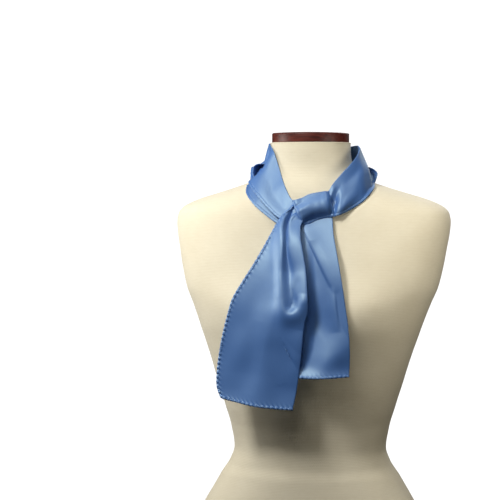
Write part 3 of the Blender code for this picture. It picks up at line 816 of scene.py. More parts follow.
@dataclass(frozen=True)
class Finish:
    """A finish between two colours."""

    name: str
    colour: tuple[float, float, float]
    other: tuple[float, float, float]

    def build(self, groups: Groups) -> bpy.types.Material:
        """Makes the material.

        Args:
            groups: the shared node groups.

        Returns:
            The material.
        """
        material = bpy.data.materials.new(self.name)
        material.use_nodes = True
        graph = Graph(material.node_tree)
        shader = graph.node("ShaderNodeBsdfPrincipled", **self.inputs(graph, groups))
        graph.node("ShaderNodeOutputMaterial", Surface=shader.outputs[0])
        return material

    def inputs(self, graph: Graph, groups: Groups) -> dict[str, object]:
        """What goes into the shader's sockets."""
        raise NotImplementedError

    def blend(self, graph: Graph, share: object) -> bpy.types.NodeSocket:
        """The first colour, with a share of the other."""
        return graph.mix(share, (*self.colour, 1), (*self.other, 1))


@dataclass(frozen=True)
class Satin(Finish):
    """Smooth satin: light rides on its floats, so its shine is tinted and stretched."""

    roughness: float = 0.54

    def inputs(self, graph: Graph, groups: Groups) -> dict[str, object]:
        """Cloudy colour, and floats that vary the roughness and raise a fine relief.

        Args:
            graph: the material's tree.
            groups: the shared node groups.

        Returns:
            What goes into the shader's sockets.
        """
        place = graph.node("ShaderNodeUVMap", {"uv_map": UV_NAME}).outputs[0]
        floats = graph.group(groups.floats, Place=place, Thread=0.0003)
        mottle = graph.group(groups.mottle, Place=place, Size=0.02)[0]
        rough = graph.ramp(floats["Shade"], 0.2, 0.8, self.roughness - 0.05, self.roughness + 0.06)
        bump = graph.node("ShaderNodeBump", Strength=0.12, Distance=0.00006, Height=floats["Height"])
        tangent = graph.node("ShaderNodeTangent", {"direction_type": "UV_MAP", "uv_map": UV_NAME})
        return dict(
            Base_Color=self.blend(graph, graph.ramp(mottle, 0.3, 0.7, 0.0, 0.35)), Roughness=rough,
            Normal=bump.outputs[0], Tangent=tangent.outputs[0], Anisotropic=0.45, Sheen_Weight=0.15,
            Sheen_Roughness=0.35, Sheen_Tint=(0.8, 0.95, 1.0, 1.0), Specular_IOR_Level=1.0, IOR=1.75,
            Specular_Tint=(0.78, 1.0, 0.95, 1.0),
        )


@dataclass(frozen=True)
class Jersey(Finish):
    """Fine knit jersey stretched over padding."""

    def inputs(self, graph: Graph, groups: Groups) -> dict[str, object]:
        """Painted shade in the gaps between stitches, faint level bars and a cloudy unevenness.

        Args:
            graph: the material's tree.
            groups: the shared node groups.

        Returns:
            What goes into the shader's sockets.
        """
        place = graph.node("ShaderNodeUVMap", {"uv_map": UV_NAME}).outputs[0]
        knit = graph.group(groups.knit, Place=place, Wale=0.0026, Course=0.0021)
        bars = graph.noise(place, (90, 420, 1), Detail=2.0)
        mottle = graph.group(groups.mottle, Place=place, Size=0.05)[0]
        # Painted shade: the colour goes towards the second colour in the gaps between stitches; the bars and
        # the mottle add tone that varies at random.
        gap = graph.math("SUBTRACT", 1.0, knit["Shade"])
        depth = graph.math("MULTIPLY_ADD", gap, 0.4, graph.ramp(bars, 0.35, 0.7, 0.0, 0.12))
        depth = graph.math("ADD", depth, graph.ramp(mottle, 0.35, 0.7, 0.0, 0.15))
        relief = graph.math("MULTIPLY_ADD", bars, 0.3, knit["Height"])
        bump = graph.node("ShaderNodeBump", Strength=0.35, Distance=0.0003, Height=relief)
        return dict(
            Base_Color=self.blend(graph, depth), Roughness=0.86, Normal=bump.outputs[0],
            Sheen_Weight=0.2, Sheen_Roughness=0.5, Specular_IOR_Level=0.25,
        )


@dataclass(frozen=True)
class Mahogany(Finish):
    """Varnished dark red wood with long fine grain."""

    def inputs(self, graph: Graph, groups: Groups) -> dict[str, object]:
        """Grain stretched along the wood, over a cloudy unevenness, with fine pores.

        Args:
            graph: the material's tree.
            groups: the shared node groups.

        Returns:
            What goes into the shader's sockets.
        """
        place = graph.node("ShaderNodeTexCoord").outputs["Object"]
        grain = graph.noise(place, (28, 240, 420), Detail=5.0, Distortion=0.6)
        pores = graph.noise(place, (260, 2400, 3200), Detail=1.0)
        mottle = graph.group(groups.mottle, Place=place, Size=0.04)[0]
        streaks = graph.ramp(grain, 0.35, 0.68, 0, 0.6)
        share = graph.math("MULTIPLY_ADD", graph.ramp(mottle, 0.35, 0.65), 0.4, streaks)
        bump = graph.node("ShaderNodeBump", Strength=0.15, Distance=0.0001, Height=pores)
        return dict(
            Base_Color=self.blend(graph, share), Roughness=0.42, Normal=bump.outputs[0],
            Specular_IOR_Level=0.35,
        )


@dataclass(frozen=True)
class Paper(Finish):
    """The matt pale floor, with a painted glow that rises to white towards its rim, so that it fades into the
    white surroundings.
    """

    glow: float = 0.3
    fade_from: float = 0.6
    fade_to: float = 1.2

    def inputs(self, graph: Graph, groups: Groups) -> dict[str, object]:
        """Faintly cloudy, with a painted glow that rises to white with the distance from the middle.

        Args:
            graph: the material's tree.
            groups: the shared node groups.

        Returns:
            What goes into the shader's sockets.
        """
        place = graph.node("ShaderNodeTexCoord").outputs["Object"]
        mottle = graph.group(groups.mottle, Place=place, Size=0.8)[0]
        far = graph.node("ShaderNodeVectorMath", {"operation": "LENGTH"}, i0=place).outputs["Value"]
        return dict(
            Base_Color=self.blend(graph, graph.ramp(mottle, 0.3, 0.7, 0.0, 0.05)), Roughness=0.9,
            Specular_IOR_Level=0.1, Emission_Color=(1, 1, 1, 1),
            # Painted light: the floor emits a glow of its own, though it is no lamp.
            Emission_Strength=graph.ramp(far, self.fade_from, self.fade_to, self.glow, 1.0),
        )


class Finishes:
    """Every finish of the object, built once."""

    def __init__(self) -> None:
        """Builds the shared groups and then the materials."""
        groups = Groups()
        self.satin = Satin("blue_satin", (0.063, 0.168, 0.47), (0.055, 0.15, 0.43)).build(groups)
        # The stitch thread is painted lighter than the satin: a painted glint on each stitch, on thread that
        # the scarf really has.
        self.thread = Satin("blue_thread_painted_glint", (0.20, 0.34, 0.60), (0.15, 0.27, 0.52), 0.5).build(groups)
        # The jersey's second colour is the painted shade of the gaps between stitches, and also the tone of
        # its bars and mottle.
        self.jersey = Jersey("cream_jersey", (0.82, 0.757, 0.6), (0.64, 0.555, 0.385)).build(groups)
        self.wood = Mahogany("mahogany", (0.035, 0.006, 0.005), (0.16, 0.03, 0.02)).build(groups)
        self.paper = Paper("white_floor", (0.82, 0.82, 0.82), (0.7, 0.7, 0.7)).build(groups)


@dataclass
class DressForm:
    """The padded torso in its jersey cover, and its turned wooden cap."""

    shape: FormShape
    height: float = 800.0
    cap_height: float = 15.0
    cap_radius: float = 55.0
    cap_dome: float = 1.6
    cap_edge: float = 1.8
    seam_gap: float = 0.3
    sides: int = 224
    levels: int = 330
    roll: float = 1.1
    roll_radius: float = 56.3
    middle_y: float = 5.0
    waist_z: float = 400.0
    waist_tall: float = 150.0
    wrinkles: Ripple = Ripple(seed=11, height=0.05, shortest=9.0, longest=24.0, waves=6)
    padding: Ripple = Ripple(seed=5, height=0.25, shortest=60.0, longest=140.0)

    @property
    def neck_top(self) -> float:
        """The height of the neck's top, just under the cap."""
        return self.height - self.cap_height - self.seam_gap

    def ring(self, z: np.ndarray, angle: np.ndarray) -> np.ndarray:
        """A superellipse at each height: x = a|cos|^(2/n), y = b|sin|^(2/n), each with its sign.

        Args:
            z: heights, mm, as a column.
            angle: angles round the form, as a row.

        Returns:
            A grid of points, mm.
        """
        half, front, back, power, widest = self.shape.curves.at(z)
        across, deep = np.cos(angle), np.sin(angle)
        x = half * np.sign(across) * np.abs(across) ** (2 / power)
        depth = np.where(deep > 0, back - widest, front + widest + self.shape.bust(x, z))
        y = widest + depth * np.sign(deep) * np.abs(deep) ** (2 / power)
        return np.stack([x, y, z + 0 * x], -1)

    def torso(self) -> bpy.types.Object:
        """The cover's surface, with faint level wrinkles where the jersey is pulled over the waist.

        Returns:
            The closed torso.
        """
        z = np.linspace(0, self.neck_top, self.levels)[:, None]
        points = self.ring(z, turns(self.sides)[None, :] + math.pi / 2)
        wrinkle = self.wrinkles.at(points[..., 0] * 0.3, z)
        wrinkle = wrinkle * bell(z, self.waist_z, self.waist_tall)
        soft = self.padding.at(points[..., 0], z + points[..., 1] * 0.5)
        ends = smoothstep(z, 0, 30) * smoothstep(-z, -self.neck_top, -self.neck_top + 12)
        outward = unit(points * (1, 1, 0) - (0, self.middle_y, 0))
        points = points + outward * ((wrinkle + soft) * ends)[..., None]
        closed = np.concatenate([points, points[:, :1]], 1)
        steps = np.linalg.norm(np.diff(closed, axis=1), axis=-1)
        length = np.concatenate([0 * z, np.cumsum(steps, 1)], 1)
        girth = length - length[:, -1:] / 2
        uv = np.stack([girth * MM, (z + 0 * girth) * MM], -1)
        return surface("dress_form_cover", points, uv, wrap=True, caps=True)

    def neck_roll(self) -> bpy.types.Object:
        """The cover's rolled edge under the cap: a thin ring, radius R + r cos, height r sin.

        Returns:
            The ring, whose last section meets its first.
        """
        turn = turns(16)[None, :]
        z = self.neck_top - self.roll + self.roll * np.sin(turn)
        rows = turned(self.roll_radius + self.roll * np.cos(turn), z, turns(144)[:, None])
        ring = surface("cover_rolled_edge", np.concatenate([rows, rows[:1]])[:, ::-1], wrap=True)
        ring.modifiers.new("closed", "WELD").merge_threshold = 0.00005
        return ring

    def cap(self) -> bpy.types.Object:
        """The turned cap: a profile of quarter rounds carried round the neck's axis.

        Returns:
            The closed cap.
        """
        top, base = self.height, self.height - self.cap_height
        radius, edge, dome, small = self.cap_radius, self.cap_edge, self.cap_dome, self.cap_edge / 2
        quarter = np.linspace(0, math.pi / 2, 7)
        rise, fall = np.sin(quarter), np.cos(quarter)
        inner = np.linspace(0.2, radius - edge, 14)
        upper = np.stack([inner, top - dome * (inner / (radius - edge)) ** 2], -1)
        round_top = np.stack([radius - edge + edge * rise, top - dome - edge + edge * fall], -1)
        round_low = np.stack([radius - small + small * fall, base + small - small * rise], -1)
        profile = np.vstack([upper, round_top[1:], round_low, [[radius * 0.6, base], [0.2, base]]])
        points = turned(profile[:, :1], profile[:, 1:], turns(160)[None, :])
        return surface("neck_cap_turned", points[:, ::-1], wrap=True, caps=True)

    def build(self, finishes: Finishes) -> list[bpy.types.Object]:
        """Makes the form's pieces.

        Args:
            finishes: the materials.

        Returns:
            The pieces.
        """
        pieces = [self.torso(), self.neck_roll(), self.cap()]
        place(pieces[0], "jersey", finishes.jersey, ["form_torso"])
        place(pieces[1], "jersey", finishes.jersey)
        place(pieces[2], "mahogany", finishes.wood, ["neck_cap"])
        return pieces


@dataclass
class HemLine:
    """A narrow rolled hem along an edge. Its width and thickness are halves, in mm."""

    path: np.ndarray
    normals: np.ndarray
    width: float
    thickness: float
    pucker: float
    sides: int = 12
    step: float = 0.6
    bite: float = 0.16
    smoothing: tuple[float, ...] = (0.1, 0.2, 0.4, 0.2, 0.1)
    inset: float = 0.8
    thread: float = 0.2
    thread_sides: int = 6
    thread_inset: float = 1.55
    thread_proud: float = 0.42
    thread_slant: tuple[float, float] = (0.8, 0.6)
    thread_along: tuple[float, ...] = (-0.75, -0.6, -0.2, 0.2, 0.6, 0.75)
    thread_thick: tuple[float, ...] = (0.25, 0.8, 1.0, 1.0, 0.8, 0.25)

    def __post_init__(self) -> None:
        """Spaces the path evenly, smooths its corners a little and sets up its directions."""
        steps = np.linalg.norm(np.diff(self.path, axis=0), axis=1)
        length = np.concatenate([[0], np.cumsum(steps)])
        self.s = np.arange(0, length[-1], self.step)
        self.path, normal = (
            self.smooth(np.stack([np.interp(self.s, length, values[:, k]) for k in range(3)], -1))
            for values in (self.path, self.normals)
        )
        self.tangent = unit(np.gradient(self.path, axis=0))
        self.normal = unit(normal - (normal * self.tangent).sum(-1, keepdims=True) * self.tangent)
        self.inward = np.cross(self.normal, self.tangent)

    def smooth(self, values: np.ndarray) -> np.ndarray:
        """A short running mean that keeps the ends."""
        padded = np.vstack([np.repeat(values[:1], 2, 0), values, np.repeat(values[-1:], 2, 0)])
        return sum(w * padded[k:len(values) + k] for k, w in enumerate(self.smoothing))

    def pinch(self) -> np.ndarray:
        """1 between stitches and less at each one: a narrow bell repeated at the stitch pitch."""
        phase = (self.s / STITCH_PITCH + 0.5) % 1.0 - 0.5
        return 1.0 - self.pucker * np.exp(-((phase / self.bite) ** 2))

    def tube(self) -> np.ndarray:
        """A flat oval carried along the path: inward * w cos + normal * h sin, pinched.

        Returns:
            The tube's grid, mm.
        """
        turn = turns(self.sides)[None, :, None]
        pinch = self.pinch()[:, None, None]
        centre = (self.path + self.inward * (self.width * self.inset))[:, None]
        side = self.inward[:, None] * np.cos(turn) * self.width * (0.6 + 0.4 * pinch)
        return centre + side + self.normal[:, None] * np.sin(turn) * self.thickness * pinch

    def stitches(self, name: str) -> bpy.types.Object:
        """A short thread across the hem's inner edge at each pinch: a capsule at every pitch.

        Args:
            name: the piece's name.

        Returns:
            The stitches.
        """
        at = np.arange(STITCH_PITCH, self.s[-1] - STITCH_PITCH / 2, STITCH_PITCH)
        i = np.clip(np.round(at / self.step).astype(int), 0, len(self.s) - 1)
        turn, along = turns(self.thread_sides), np.array(self.thread_along)
        thick = self.thread * np.array(self.thread_thick)[:, None]
        axis = unit(self.tangent[i] * self.thread_slant[0] + self.inward[i] * self.thread_slant[1])
        side = np.cross(self.normal[i], axis)
        inset = self.inward[i] * (self.width * self.thread_inset)
        centre = self.path[i] + inset + self.normal[i] * self.thread_proud
        points = (
            centre[:, None, None] + axis[:, None, None] * along[None, :, None, None]
            + side[:, None, None] * (thick * np.cos(turn))[None, :, :, None]
            + self.normal[i][:, None, None] * (thick * np.sin(turn))[None, :, :, None]
        ).reshape(-1, 3)
        one = grid_faces(len(along), len(turn), True)
        faces = (one[None] + (np.arange(len(i)) * len(along) * len(turn))[:, None, None]).reshape(-1, 4)
        return mesh_object(name, points, faces.tolist(), points[faces.ravel()][:, [0, 2]] * MM)


class Layer(Enum):
    """The two layers of the folded strip."""

    UPPER = 1
    LOWER = -1


@dataclass
class FoldedStrip:
    """A stretch of the folded strip. Rows run along it and columns from its fold to its open edge."""

    shape: FormShape
    name: str = "strip"
    rows: int = 200
    columns: int = 62
    nose: int = 5
    half_gap: float = 0.85
    fullness: float = 0.35
    hem_width: float = 2.0
    hem_thickness: float = 1.0
    pucker: float = 0.6

    def middle(self, t: np.ndarray, u: np.ndarray) -> np.ndarray:
        """The middle surface before its creases, for a row parameter and a share across."""
        raise NotImplementedError

    def lift(self, t: np.ndarray, u: np.ndarray, points: np.ndarray) -> np.ndarray:
        """How far the creases lift the middle surface along its normal."""
        raise NotImplementedError

    def edge_share(self, layer: Layer, t: np.ndarray) -> np.ndarray:
        """How far across a layer's open edge lies, as a share of the strip's width."""
        return 1.0 + 0.0 * t

    def spread(self, layer: Layer, t: np.ndarray, u: np.ndarray) -> np.ndarray:
        """How much further a layer stands from the middle surface, mm."""
        return 0.0 * u

    def normals(self, points: np.ndarray) -> np.ndarray:
        """The grid's own normals, turned away from the form.

        Args:
            points: the grid, mm.

        Returns:
            Unit normals.
        """
        normals = grid_normals(points)
        i, j = points.shape[0] // 2, points.shape[1] // 2
        inside = (normals[i, j] * self.shape.slope(points[i, j])).sum() < 0
        return -normals if inside else normals

    def layer(self, layer: Layer) -> tuple[np.ndarray, np.ndarray]:
        """One layer: the creased middle surface moved half the gap along its normals.

        Args:
            layer: which of the two.

        Returns:
            Its points and its outward normals.
        """
        t = np.linspace(0, self.spline.last, self.rows)[:, None]
        u = np.linspace(0, 1, self.columns)[None, :] * self.edge_share(layer, t)
        t = t + 0 * u
        points = self.middle(t, u)
        points = points + self.normals(points) * self.lift(t, u, points)[..., None]
        points = self.shape.push_out(points, ON_FORM)
        normals = layer.value * self.normals(points)
        half = self.half_gap * (1 + self.fullness * np.sin(math.pi * u)) + self.spread(layer, t, u)
        return points + normals * half[..., None], normals

    def shell(self) -> tuple[np.ndarray, np.ndarray]:
        """The whole cross-section: upper layer, round fold, lower layer.

        The fold is a half circle about the middle between the two layers' fold edges.

        Returns:
            The grid and its outward normals.
        """
        upper, upper_n = self.layer(Layer.UPPER)
        lower, lower_n = self.layer(Layer.LOWER)
        centre = (upper[:, :1] + lower[:, :1]) / 2
        arm = upper[:, :1] - centre
        out = unit(upper[:, :1] + lower[:, :1] - upper[:, 1:2] - lower[:, 1:2])
        radius = np.linalg.norm(arm, axis=-1, keepdims=True)
        turn = np.linspace(math.pi / 2, -math.pi / 2, self.nose + 2)[1:-1][None, :, None]
        nose = centre + arm * np.sin(turn) + out * radius * np.cos(turn)
        grid = np.concatenate([upper[:, ::-1], nose, lower], 1)
        return grid, np.concatenate([upper_n[:, ::-1], unit(nose - centre), lower_n], 1)

    def hem_paths(self, grid: np.ndarray) -> list[np.ndarray]:
        """The lines that the hem follows; the cloth is on the side of N x T."""
        return [grid[:, 0], grid[::-1, -1]]

    def cloth(self) -> tuple[bpy.types.Object, np.ndarray, np.ndarray]:
        """The satin itself, as a thin shell.

        Returns:
            The piece, its grid and its outward normals.
        """
        grid, normals = self.shell()
        piece = surface(self.name, grid)
        thicken(piece, SATIN_THICKNESS)
        return piece, grid, normals

    def hem(self, grid: np.ndarray, normals: np.ndarray, finishes: Finishes) -> list[bpy.types.Object]:
        """The rolled hem, a flat tube pinched at each stitch, and its stitches.

        Args:
            grid: the cloth's grid, mm.
            normals: its outward normals.
            finishes: the materials.

        Returns:
            The hem and the stitches.
        """
        tubes, threads = [], []
        for number, (path, normal) in enumerate(zip(self.hem_paths(grid), self.hem_paths(normals))):
            hem = HemLine(path, normal, self.hem_width, self.hem_thickness, self.pucker)
            tubes.append(surface(f"{self.name}_hem_{number}", hem.tube(), wrap=True, caps=True))
            threads.append(hem.stitches(f"{self.name}_stitch_{number}"))
        trims = [joined(f"{self.name}_hem", tubes), joined(f"{self.name}_stitches", threads)]
        # The stitches get the lighter thread finish, whose colour is partly a painted glint.
        for trim, material in zip(trims, (finishes.satin, finishes.thread)):
            place(trim, "satin", material)
        return trims


@dataclass
class NeckBand(FoldedStrip):
    """The strip round the neck and across the knot, in one piece."""

    name: str = "scarf_neck_and_crossing"
    rows: int = 560
    columns: int = 40
    bow_skew: float = 1.4
    short_by: float = 0.2
    under_from: float = 23.5
    under_to: float = 25.0
    parted: tuple[float, ...] = (-0.5, 0.8, 5.0, 6.4)
    upper_stand: tuple[float, ...] = (3.2, 0.4, 0.8)
    lower_stand: tuple[float, ...] = (0.8, 0.78, 1.0)
    ripple: Ripple = Ripple(seed=3, height=0.12, shortest=30.0, longest=90.0)
    pucker: float = 0.3
    hem_thickness: float = 0.55

    def __post_init__(self) -> None:
        """Reads the rows' curve and its length in mm, and places the creases on it."""
        self.spline = Spline(BAND_ROWS)
        self.stations = np.linspace(0, self.spline.last, 600)
        values = self.spline.at(self.stations)
        centre = (values[0:3] + values[3:6]) / 2
        self.run = np.concatenate([[0], np.cumsum(np.linalg.norm(np.diff(centre, axis=1), axis=0))])
        self.width = np.linalg.norm(values[3:6] - values[0:3], axis=0)
        self.creases = [
            Crease([(*self.flat(np.array(row), np.array(share)), *form) for row, share, *form in path])
            for path in BAND_CREASES
        ]

    def flat(self, t: np.ndarray, u: np.ndarray) -> tuple[np.ndarray, np.ndarray]:
        """Places on the flat strip: the length run along it and the distance from its fold, mm."""
        return np.interp(t, self.stations, self.run), u * np.interp(t, self.stations, self.width)

    def middle(self, t: np.ndarray, u: np.ndarray) -> np.ndarray:
        """Fold + (open - fold) u, bowed by bow * sin(pi u^1.4) off the form, then pushed clear of it.

        Args:
            t: the row parameter.
            u: the share across from the fold.

        Returns:
            The grid, mm.
        """
        values = self.spline.at(t)
        fold, edge = np.moveaxis(values[0:3], 0, -1), np.moveaxis(values[3:6], 0, -1)
        points = fold + (edge - fold) * u[..., None]
        bow = values[6] * np.sin(math.pi * u**self.bow_skew)
        points = points + unit(self.shape.slope(points)) * bow[..., None]
        return self.shape.push_out(points, values[7])

    def lift(self, t: np.ndarray, u: np.ndarray, points: np.ndarray) -> np.ndarray:
        """The creases' heights and the ripples, which die out where the strip turns under.

        Args:
            t: the row parameter.
            u: the share across from the fold.
            points: the middle surface, mm.

        Returns:
            How far the cloth is lifted, mm.
        """
        a, b = self.flat(t, u)
        total = sum(crease.height(a, b) for crease in self.creases)
        return total + self.ripple.at(a, b * 1.4) * smoothstep(-t, -self.under_to, -self.under_from)

    def short_part(self, t: np.ndarray) -> np.ndarray:
        """1 along the rows on the viewer's left where the layers' edges part, and 0 elsewhere."""
        start, full, fall, end = self.parted
        return smoothstep(t, start, full) * smoothstep(-t, -end, -fall)

    def edge_share(self, layer: Layer, t: np.ndarray) -> np.ndarray:
        """On the viewer's left the upper layer's edge stops short of the lower one's."""
        return 1.0 - (self.short_by if layer is Layer.UPPER else 0.0) * self.short_part(t)

    def spread(self, layer: Layer, t: np.ndarray, u: np.ndarray) -> np.ndarray:
        """The upper layer's edge stands off there, and the lower one's bends down to the form."""
        stand, low, high = self.upper_stand if layer is Layer.UPPER else self.lower_stand
        return stand * self.short_part(t) * smoothstep(u, low, high)

    def ear(self, name: str, rows: Table, outward: float) -> bpy.types.Object:
        """A loop of slack cloth at the side: rim + (base - rim) v, bowed outward by bow * sin(pi v).

        Args:
            name: the piece's name.
            rows: its table.
            outward: -1 for the viewer's left, 1 for the right.

        Returns:
            The piece.
        """
        spline = Spline(rows)
        t = np.linspace(0, spline.last, 64)[:, None]
        v = np.linspace(0, 1, 20)[None, :]
        values = spline.at(t + 0 * v)
        rim, base = np.moveaxis(values[0:3], 0, -1), np.moveaxis(values[3:6], 0, -1)
        points = rim + (base - rim) * v[..., None]
        normals = grid_normals(points)
        normals *= np.sign((normals[..., :1] * outward).mean())
        points = points + normals * (values[6] * np.sin(math.pi * v))[..., None]
        piece = surface(name, points)
        thicken(piece, SATIN_THICKNESS * 2)
        return piece

    def build(self, finishes: Finishes) -> None:
        """Makes the band, its hem, its stitches and its ears.

        Args:
            finishes: the materials.
        """
        piece, grid, normals = self.cloth()
        stretches = ["neck_left", "neck_back", "neck_right", "knot_wrap", "knot_pass"]
        place(piece, "satin", finishes.satin, stretches)
        ears = [self.ear("scarf_ear_left", LEFT_EAR, -1), self.ear("scarf_ear_right", RIGHT_EAR, 1)]
        for ear in ears:
            place(ear, "satin", finishes.satin)
        trims = [*self.hem(grid, normals, finishes), *ears]


@dataclass
class HangingTail(FoldedStrip):
    """A tail that hangs from the knot down the form's front, its fold on the viewer's right."""

    pucker_height: float = 0.7
    pucker_reach: float = 4.6
    pucker_slant: float = 0.7
    hang: Curves = field(default_factory=lambda: Curves(HANG_ROWS))

    def level(self, t: np.ndarray, u: np.ndarray) -> tuple[np.ndarray, ...]:
        """Seen from the front: right + (left - right) u, sagging by sag * sin(pi u).

        Args:
            t: the row parameter.
            u: the share across from the fold.

        Returns:
            x, z and the distance off the form, mm.
        """
        left_x, left_z, right_x, right_z, sag, off = self.spline.at(t)
        x = right_x + (left_x - right_x) * u
        z = right_z + (left_z - right_z) * u - sag * np.sin(math.pi * u)
        return x, z, off

    def hung(self, x: np.ndarray, z: np.ndarray, off: np.ndarray) -> np.ndarray:
        """Level places carried forward to the hanging depth and a distance off, clear of the form."""
        return self.shape.push_out(np.stack([x, -self.hang.at(z)[0] - off, z], -1), ON_FORM)

    def lift(self, t: np.ndarray, u: np.ndarray, points: np.ndarray) -> np.ndarray:
        """The creases' heights, the ripples, and slanting sine puckers that fade from the hem.

        Args:
            t: the row parameter.
            u: the share across from the fold.
            points: the middle surface, mm.

        Returns:
            How far the cloth is lifted, mm.
        """
        x, z = points[..., 0], points[..., 2]
        total = sum(crease.height(x, z) for crease in self.creases)
        total = total + self.ripple.at(x, z * 0.6) * smoothstep(t, 1.0, 4.0)
        pucker = 0.0
        for along, edge in ((z, points[:, -1:]), (x, points[-1:])):
            gap = np.linalg.norm(points - edge, axis=-1)
            wave = np.sin((along + self.pucker_slant * gap) * 2 * math.pi / STITCH_PITCH)
            pucker = pucker + wave * np.exp(-((gap / self.pucker_reach) ** 2))
        return total + self.pucker_height * pucker

    def hem_paths(self, grid: np.ndarray) -> list[np.ndarray]:
        """One line: down the upper layer's edge, along the bottom and back up the lower one's."""
        return [np.concatenate([grid[:-1, 0], grid[-1], grid[-2::-1, -1]])]


@dataclass
class BackTail(HangingTail):
    """The short end, which hangs behind the front one on the viewer's right."""

    name: str = "scarf_back_tail"
    hem_z: float = 430.0
    creased_z: float = 490.0
    ripple: Ripple = Ripple(seed=8, height=0.3, shortest=24.0, longest=80.0)

    def __post_init__(self) -> None:
        """Reads the rows' curve, the creases, and the left edge's place and distance by height."""
        self.spline = Spline(BACK_ROWS)
        self.edge = Curves([(left_z, left_x, off) for left_x, left_z, *_, off in BACK_ROWS[::-1]])
        self.creases = [Crease(path) for path in BACK_CREASES]

    def middle(self, t: np.ndarray, u: np.ndarray) -> np.ndarray:
        """The level places, hung."""
        return self.hung(*self.level(t, u))

    def reach(self, x: np.ndarray, z: np.ndarray) -> np.ndarray:
        """How far its middle stands in front of the hanging depth, with all creases but the hem's."""
        folds = np.maximum(sum(crease.height(x, z) for crease in self.creases[:-1]), 0)
        return self.edge.at(z)[1] + folds * smoothstep(z, self.hem_z, self.creased_z)

    def build(self, finishes: Finishes) -> None:
        """Makes the tail, its hem and its stitches.

        Args:
            finishes: the materials.
        """
        piece, grid, normals = self.cloth()
        place(piece, "satin", finishes.satin, ["back_tail"])
        trims = self.hem(grid, normals, finishes)


@dataclass
class FrontTail(HangingTail):
    """The long end: it comes up through the loop as a gathered bunch and falls over the knot."""

    name: str = "scarf_front_tail"
    rows: int = 250
    columns: int = 92
    back: BackTail | None = None
    over_from: float = 60.0
    over_to: float = 3.0
    stand_off: float = 2.5
    stand_z: tuple[float, float] = (640.0, 590.0)
    droop: float = 1.5
    droop_from: float = 0.55
    droop_z: float = 650.0
    droop_tall: float = 50.0
    ripple: Ripple = Ripple(seed=21, height=0.4, shortest=26.0, longest=90.0)

    def __post_init__(self) -> None:
        """Reads the rows' curve and the creases."""
        self.spline = Spline(FRONT_ROWS)
        self.creases = [Crease(path) for path in FRONT_CREASES]

    def middle(self, t: np.ndarray, u: np.ndarray) -> np.ndarray:
        """Level places hung over the back tail, the free edge drooping to the chest.

        Args:
            t: the row parameter.
            u: the share across from the fold.

        Returns:
            The grid, mm.
        """
        x, z, off = self.level(t, u)
        edge = self.back.edge.at(z)[0]
        over = smoothstep(x, edge - self.over_from, edge - self.over_to)
        stand_off = self.stand_off * smoothstep(-z, -self.stand_z[0], -self.stand_z[1])
        lift = over * (self.back.reach(x, z) + STRIP + LAYER_GAP + stand_off)
        droop = self.droop * smoothstep(u, self.droop_from, 1.0) * bell(z, self.droop_z, self.droop_tall)
        return self.hung(x, z, soft_max(off, lift, 1.0) - droop)

    def build(self, finishes: Finishes) -> None:
        """Makes the tail, its hem and its stitches.

        Args:
            finishes: the materials.
        """
        piece, grid, normals = self.cloth()
        place(piece, "satin", finishes.satin, ["front_tail", "knot_tuck"])
        trims = self.hem(grid, normals, finishes)


@dataclass(frozen=True)
class Softbox:
    """A square soft light."""

    name: str
    position: tuple[float, float, float]
    size: float
    power: float
    colour: tuple[float, float, float]
    target: tuple[float, float, float] = (0, -0.02, 0.6)

    def build(self) -> bpy.types.Object:
        """Makes the light and turns it to its target.

        Returns:
            The light.
        """
        light = bpy.data.lights.new(self.name, "AREA")
        light.shape, light.size, light.energy, light.color = "SQUARE", self.size, self.power, self.colour
        obj = bpy.data.objects.new(self.name, light)
        bpy.context.scene.collection.objects.link(obj)
        obj.location = self.position
        aim = Vector(self.target) - Vector(self.position)
        obj.rotation_euler = aim.to_track_quat("-Z", "Y").to_euler()
        obj.visible_camera = False
        return obj


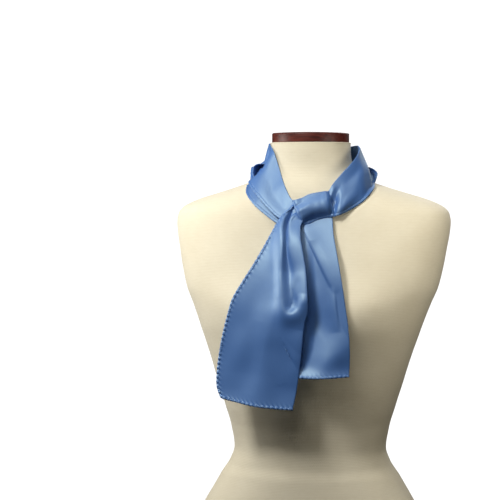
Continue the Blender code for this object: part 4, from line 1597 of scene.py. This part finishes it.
@dataclass
class Studio:
    """The camera of the photograph, a pale floor and soft light from the upper left."""

    azimuth: float = 8.0
    distance: float = 2.330
    camera_height: float = 0.733
    focal_px: float = 1628.0
    axis_px: float = 310.5
    horizon_px: float = 179.0
    image_px: float = 500.0
    sensor: float = 36.0
    floor_radius: float = 1250.0
    floor_drop: float = 0.3
    world_seen: float = 1.15
    lights: tuple[Softbox, ...] = (
        Softbox("key_softbox", (-0.669, -1.158, 1.804), 0.4, 22.6, (1.0, 0.99, 0.96)),
        Softbox("left_softbox", (-0.63, -0.111, 0.713), 0.25, 2.2, (1.0, 0.98, 0.92)),
        Softbox("right_softbox", (0.426, -0.246, 0.687), 0.25, 0.82, (1.0, 0.95, 0.83)),
        Softbox("top_softbox", (0.33, -0.393, 2.01), 0.4, 5.7, (1.0, 0.98, 0.93)),
        Softbox("front_softbox", (-0.091, -1.035, 1.2), 0.4, 1.6, (1.0, 0.98, 0.93)),
        Softbox("back_softbox", (0.3, 1.1, 1.3), 0.8, 7.0, (1.0, 1.0, 1.0), (0, 0, 0.6)),
    )

    def camera(self) -> None:
        """Looks along the turned axis, aimed so that the axis falls on its pixel with no shift."""
        turn = math.radians(self.azimuth)
        right = Vector((math.cos(turn), math.sin(turn), 0))
        ahead = Vector((-math.sin(turn), math.cos(turn), 0))
        centre = self.image_px / 2
        drop = Vector((0, 0, self.horizon_px - centre))
        aim = (ahead * self.focal_px + right * (centre - self.axis_px) + drop).normalized()
        side = aim.cross(Vector((0, 0, 1))).normalized()
        matrix = Matrix((side, side.cross(aim), -aim)).transposed().to_4x4()
        matrix.translation = -ahead * self.distance + Vector((0, 0, self.camera_height))
        data = bpy.data.cameras.new("photo_camera")
        data.sensor_width = self.sensor
        data.lens = self.sensor * self.focal_px / self.image_px
        camera = bpy.data.objects.new("photo_camera", data)
        camera.matrix_world = matrix
        bpy.context.scene.collection.objects.link(camera)
        bpy.context.scene.camera = camera

    def floor(self, finishes: Finishes) -> None:
        """A large level disc: rings of growing radius.

        Args:
            finishes: the materials.
        """
        radius = (np.linspace(0.02, 1, 24) * self.floor_radius)[:, None]
        points = turned(radius, -self.floor_drop, turns(96)[None, :])
        disc = surface("studio_floor", points[:, ::-1], wrap=True)
        disc.data.materials.append(finishes.paper)
        disc.visible_diffuse = disc.visible_glossy = False

    def world(self) -> None:
        """White surroundings that the camera sees and that give no light."""
        world = bpy.data.worlds.new("studio")
        bpy.context.scene.world = world
        world.use_nodes = True
        graph = Graph(world.node_tree)
        seen = graph.node("ShaderNodeLightPath").outputs["Is Camera Ray"]
        strength = graph.math("MULTIPLY", seen, self.world_seen)
        background = graph.node("ShaderNodeBackground", Color=(1, 1, 1, 1), Strength=strength)
        graph.node("ShaderNodeOutputWorld", Surface=background.outputs[0])

    def build(self, finishes: Finishes) -> None:
        """Sets up the camera, the floor, the surroundings and the lights.

        Args:
            finishes: the materials.
        """
        self.camera()
        self.floor(finishes)
        self.world()
        self.lamps = {light.name: light.build() for light in self.lights}
        bpy.context.scene.view_settings.view_transform = "Standard"

    def keep_to(self, name: str, pieces: Sequence[bpy.types.Object]) -> None:
        """Keeps a light to some pieces, as a flag keeps it off the rest.

        Args:
            name: the light's name.
            pieces: what it still lights.
        """
        receivers = bpy.data.collections.new(f"{name}_receivers")
        for piece in pieces:
            receivers.objects.link(piece)
        self.lamps[name].light_linking.receiver_collection = receivers


def corners(bounds: tuple[Vector, Vector]) -> list[list[float]]:
    """A box's two corners as plain lists."""
    return [list(map(float, corner)) for corner in bounds]


def main() -> None:
    """Builds the studio, the form and the scarf around the frame."""
    logging.basicConfig(level=logging.INFO, format="%(name)s %(message)s")
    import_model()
    finishes = Finishes()
    studio = Studio()
    studio.build(finishes)
    shape = FormShape()
    studio.keep_to("right_softbox", DressForm(shape).build(finishes))
    NeckBand(shape).build(finishes)
    back = BackTail(shape)
    back.build(finishes)
    FrontTail(shape, back=back).build(finishes)


if __name__ == "__main__":
    main()
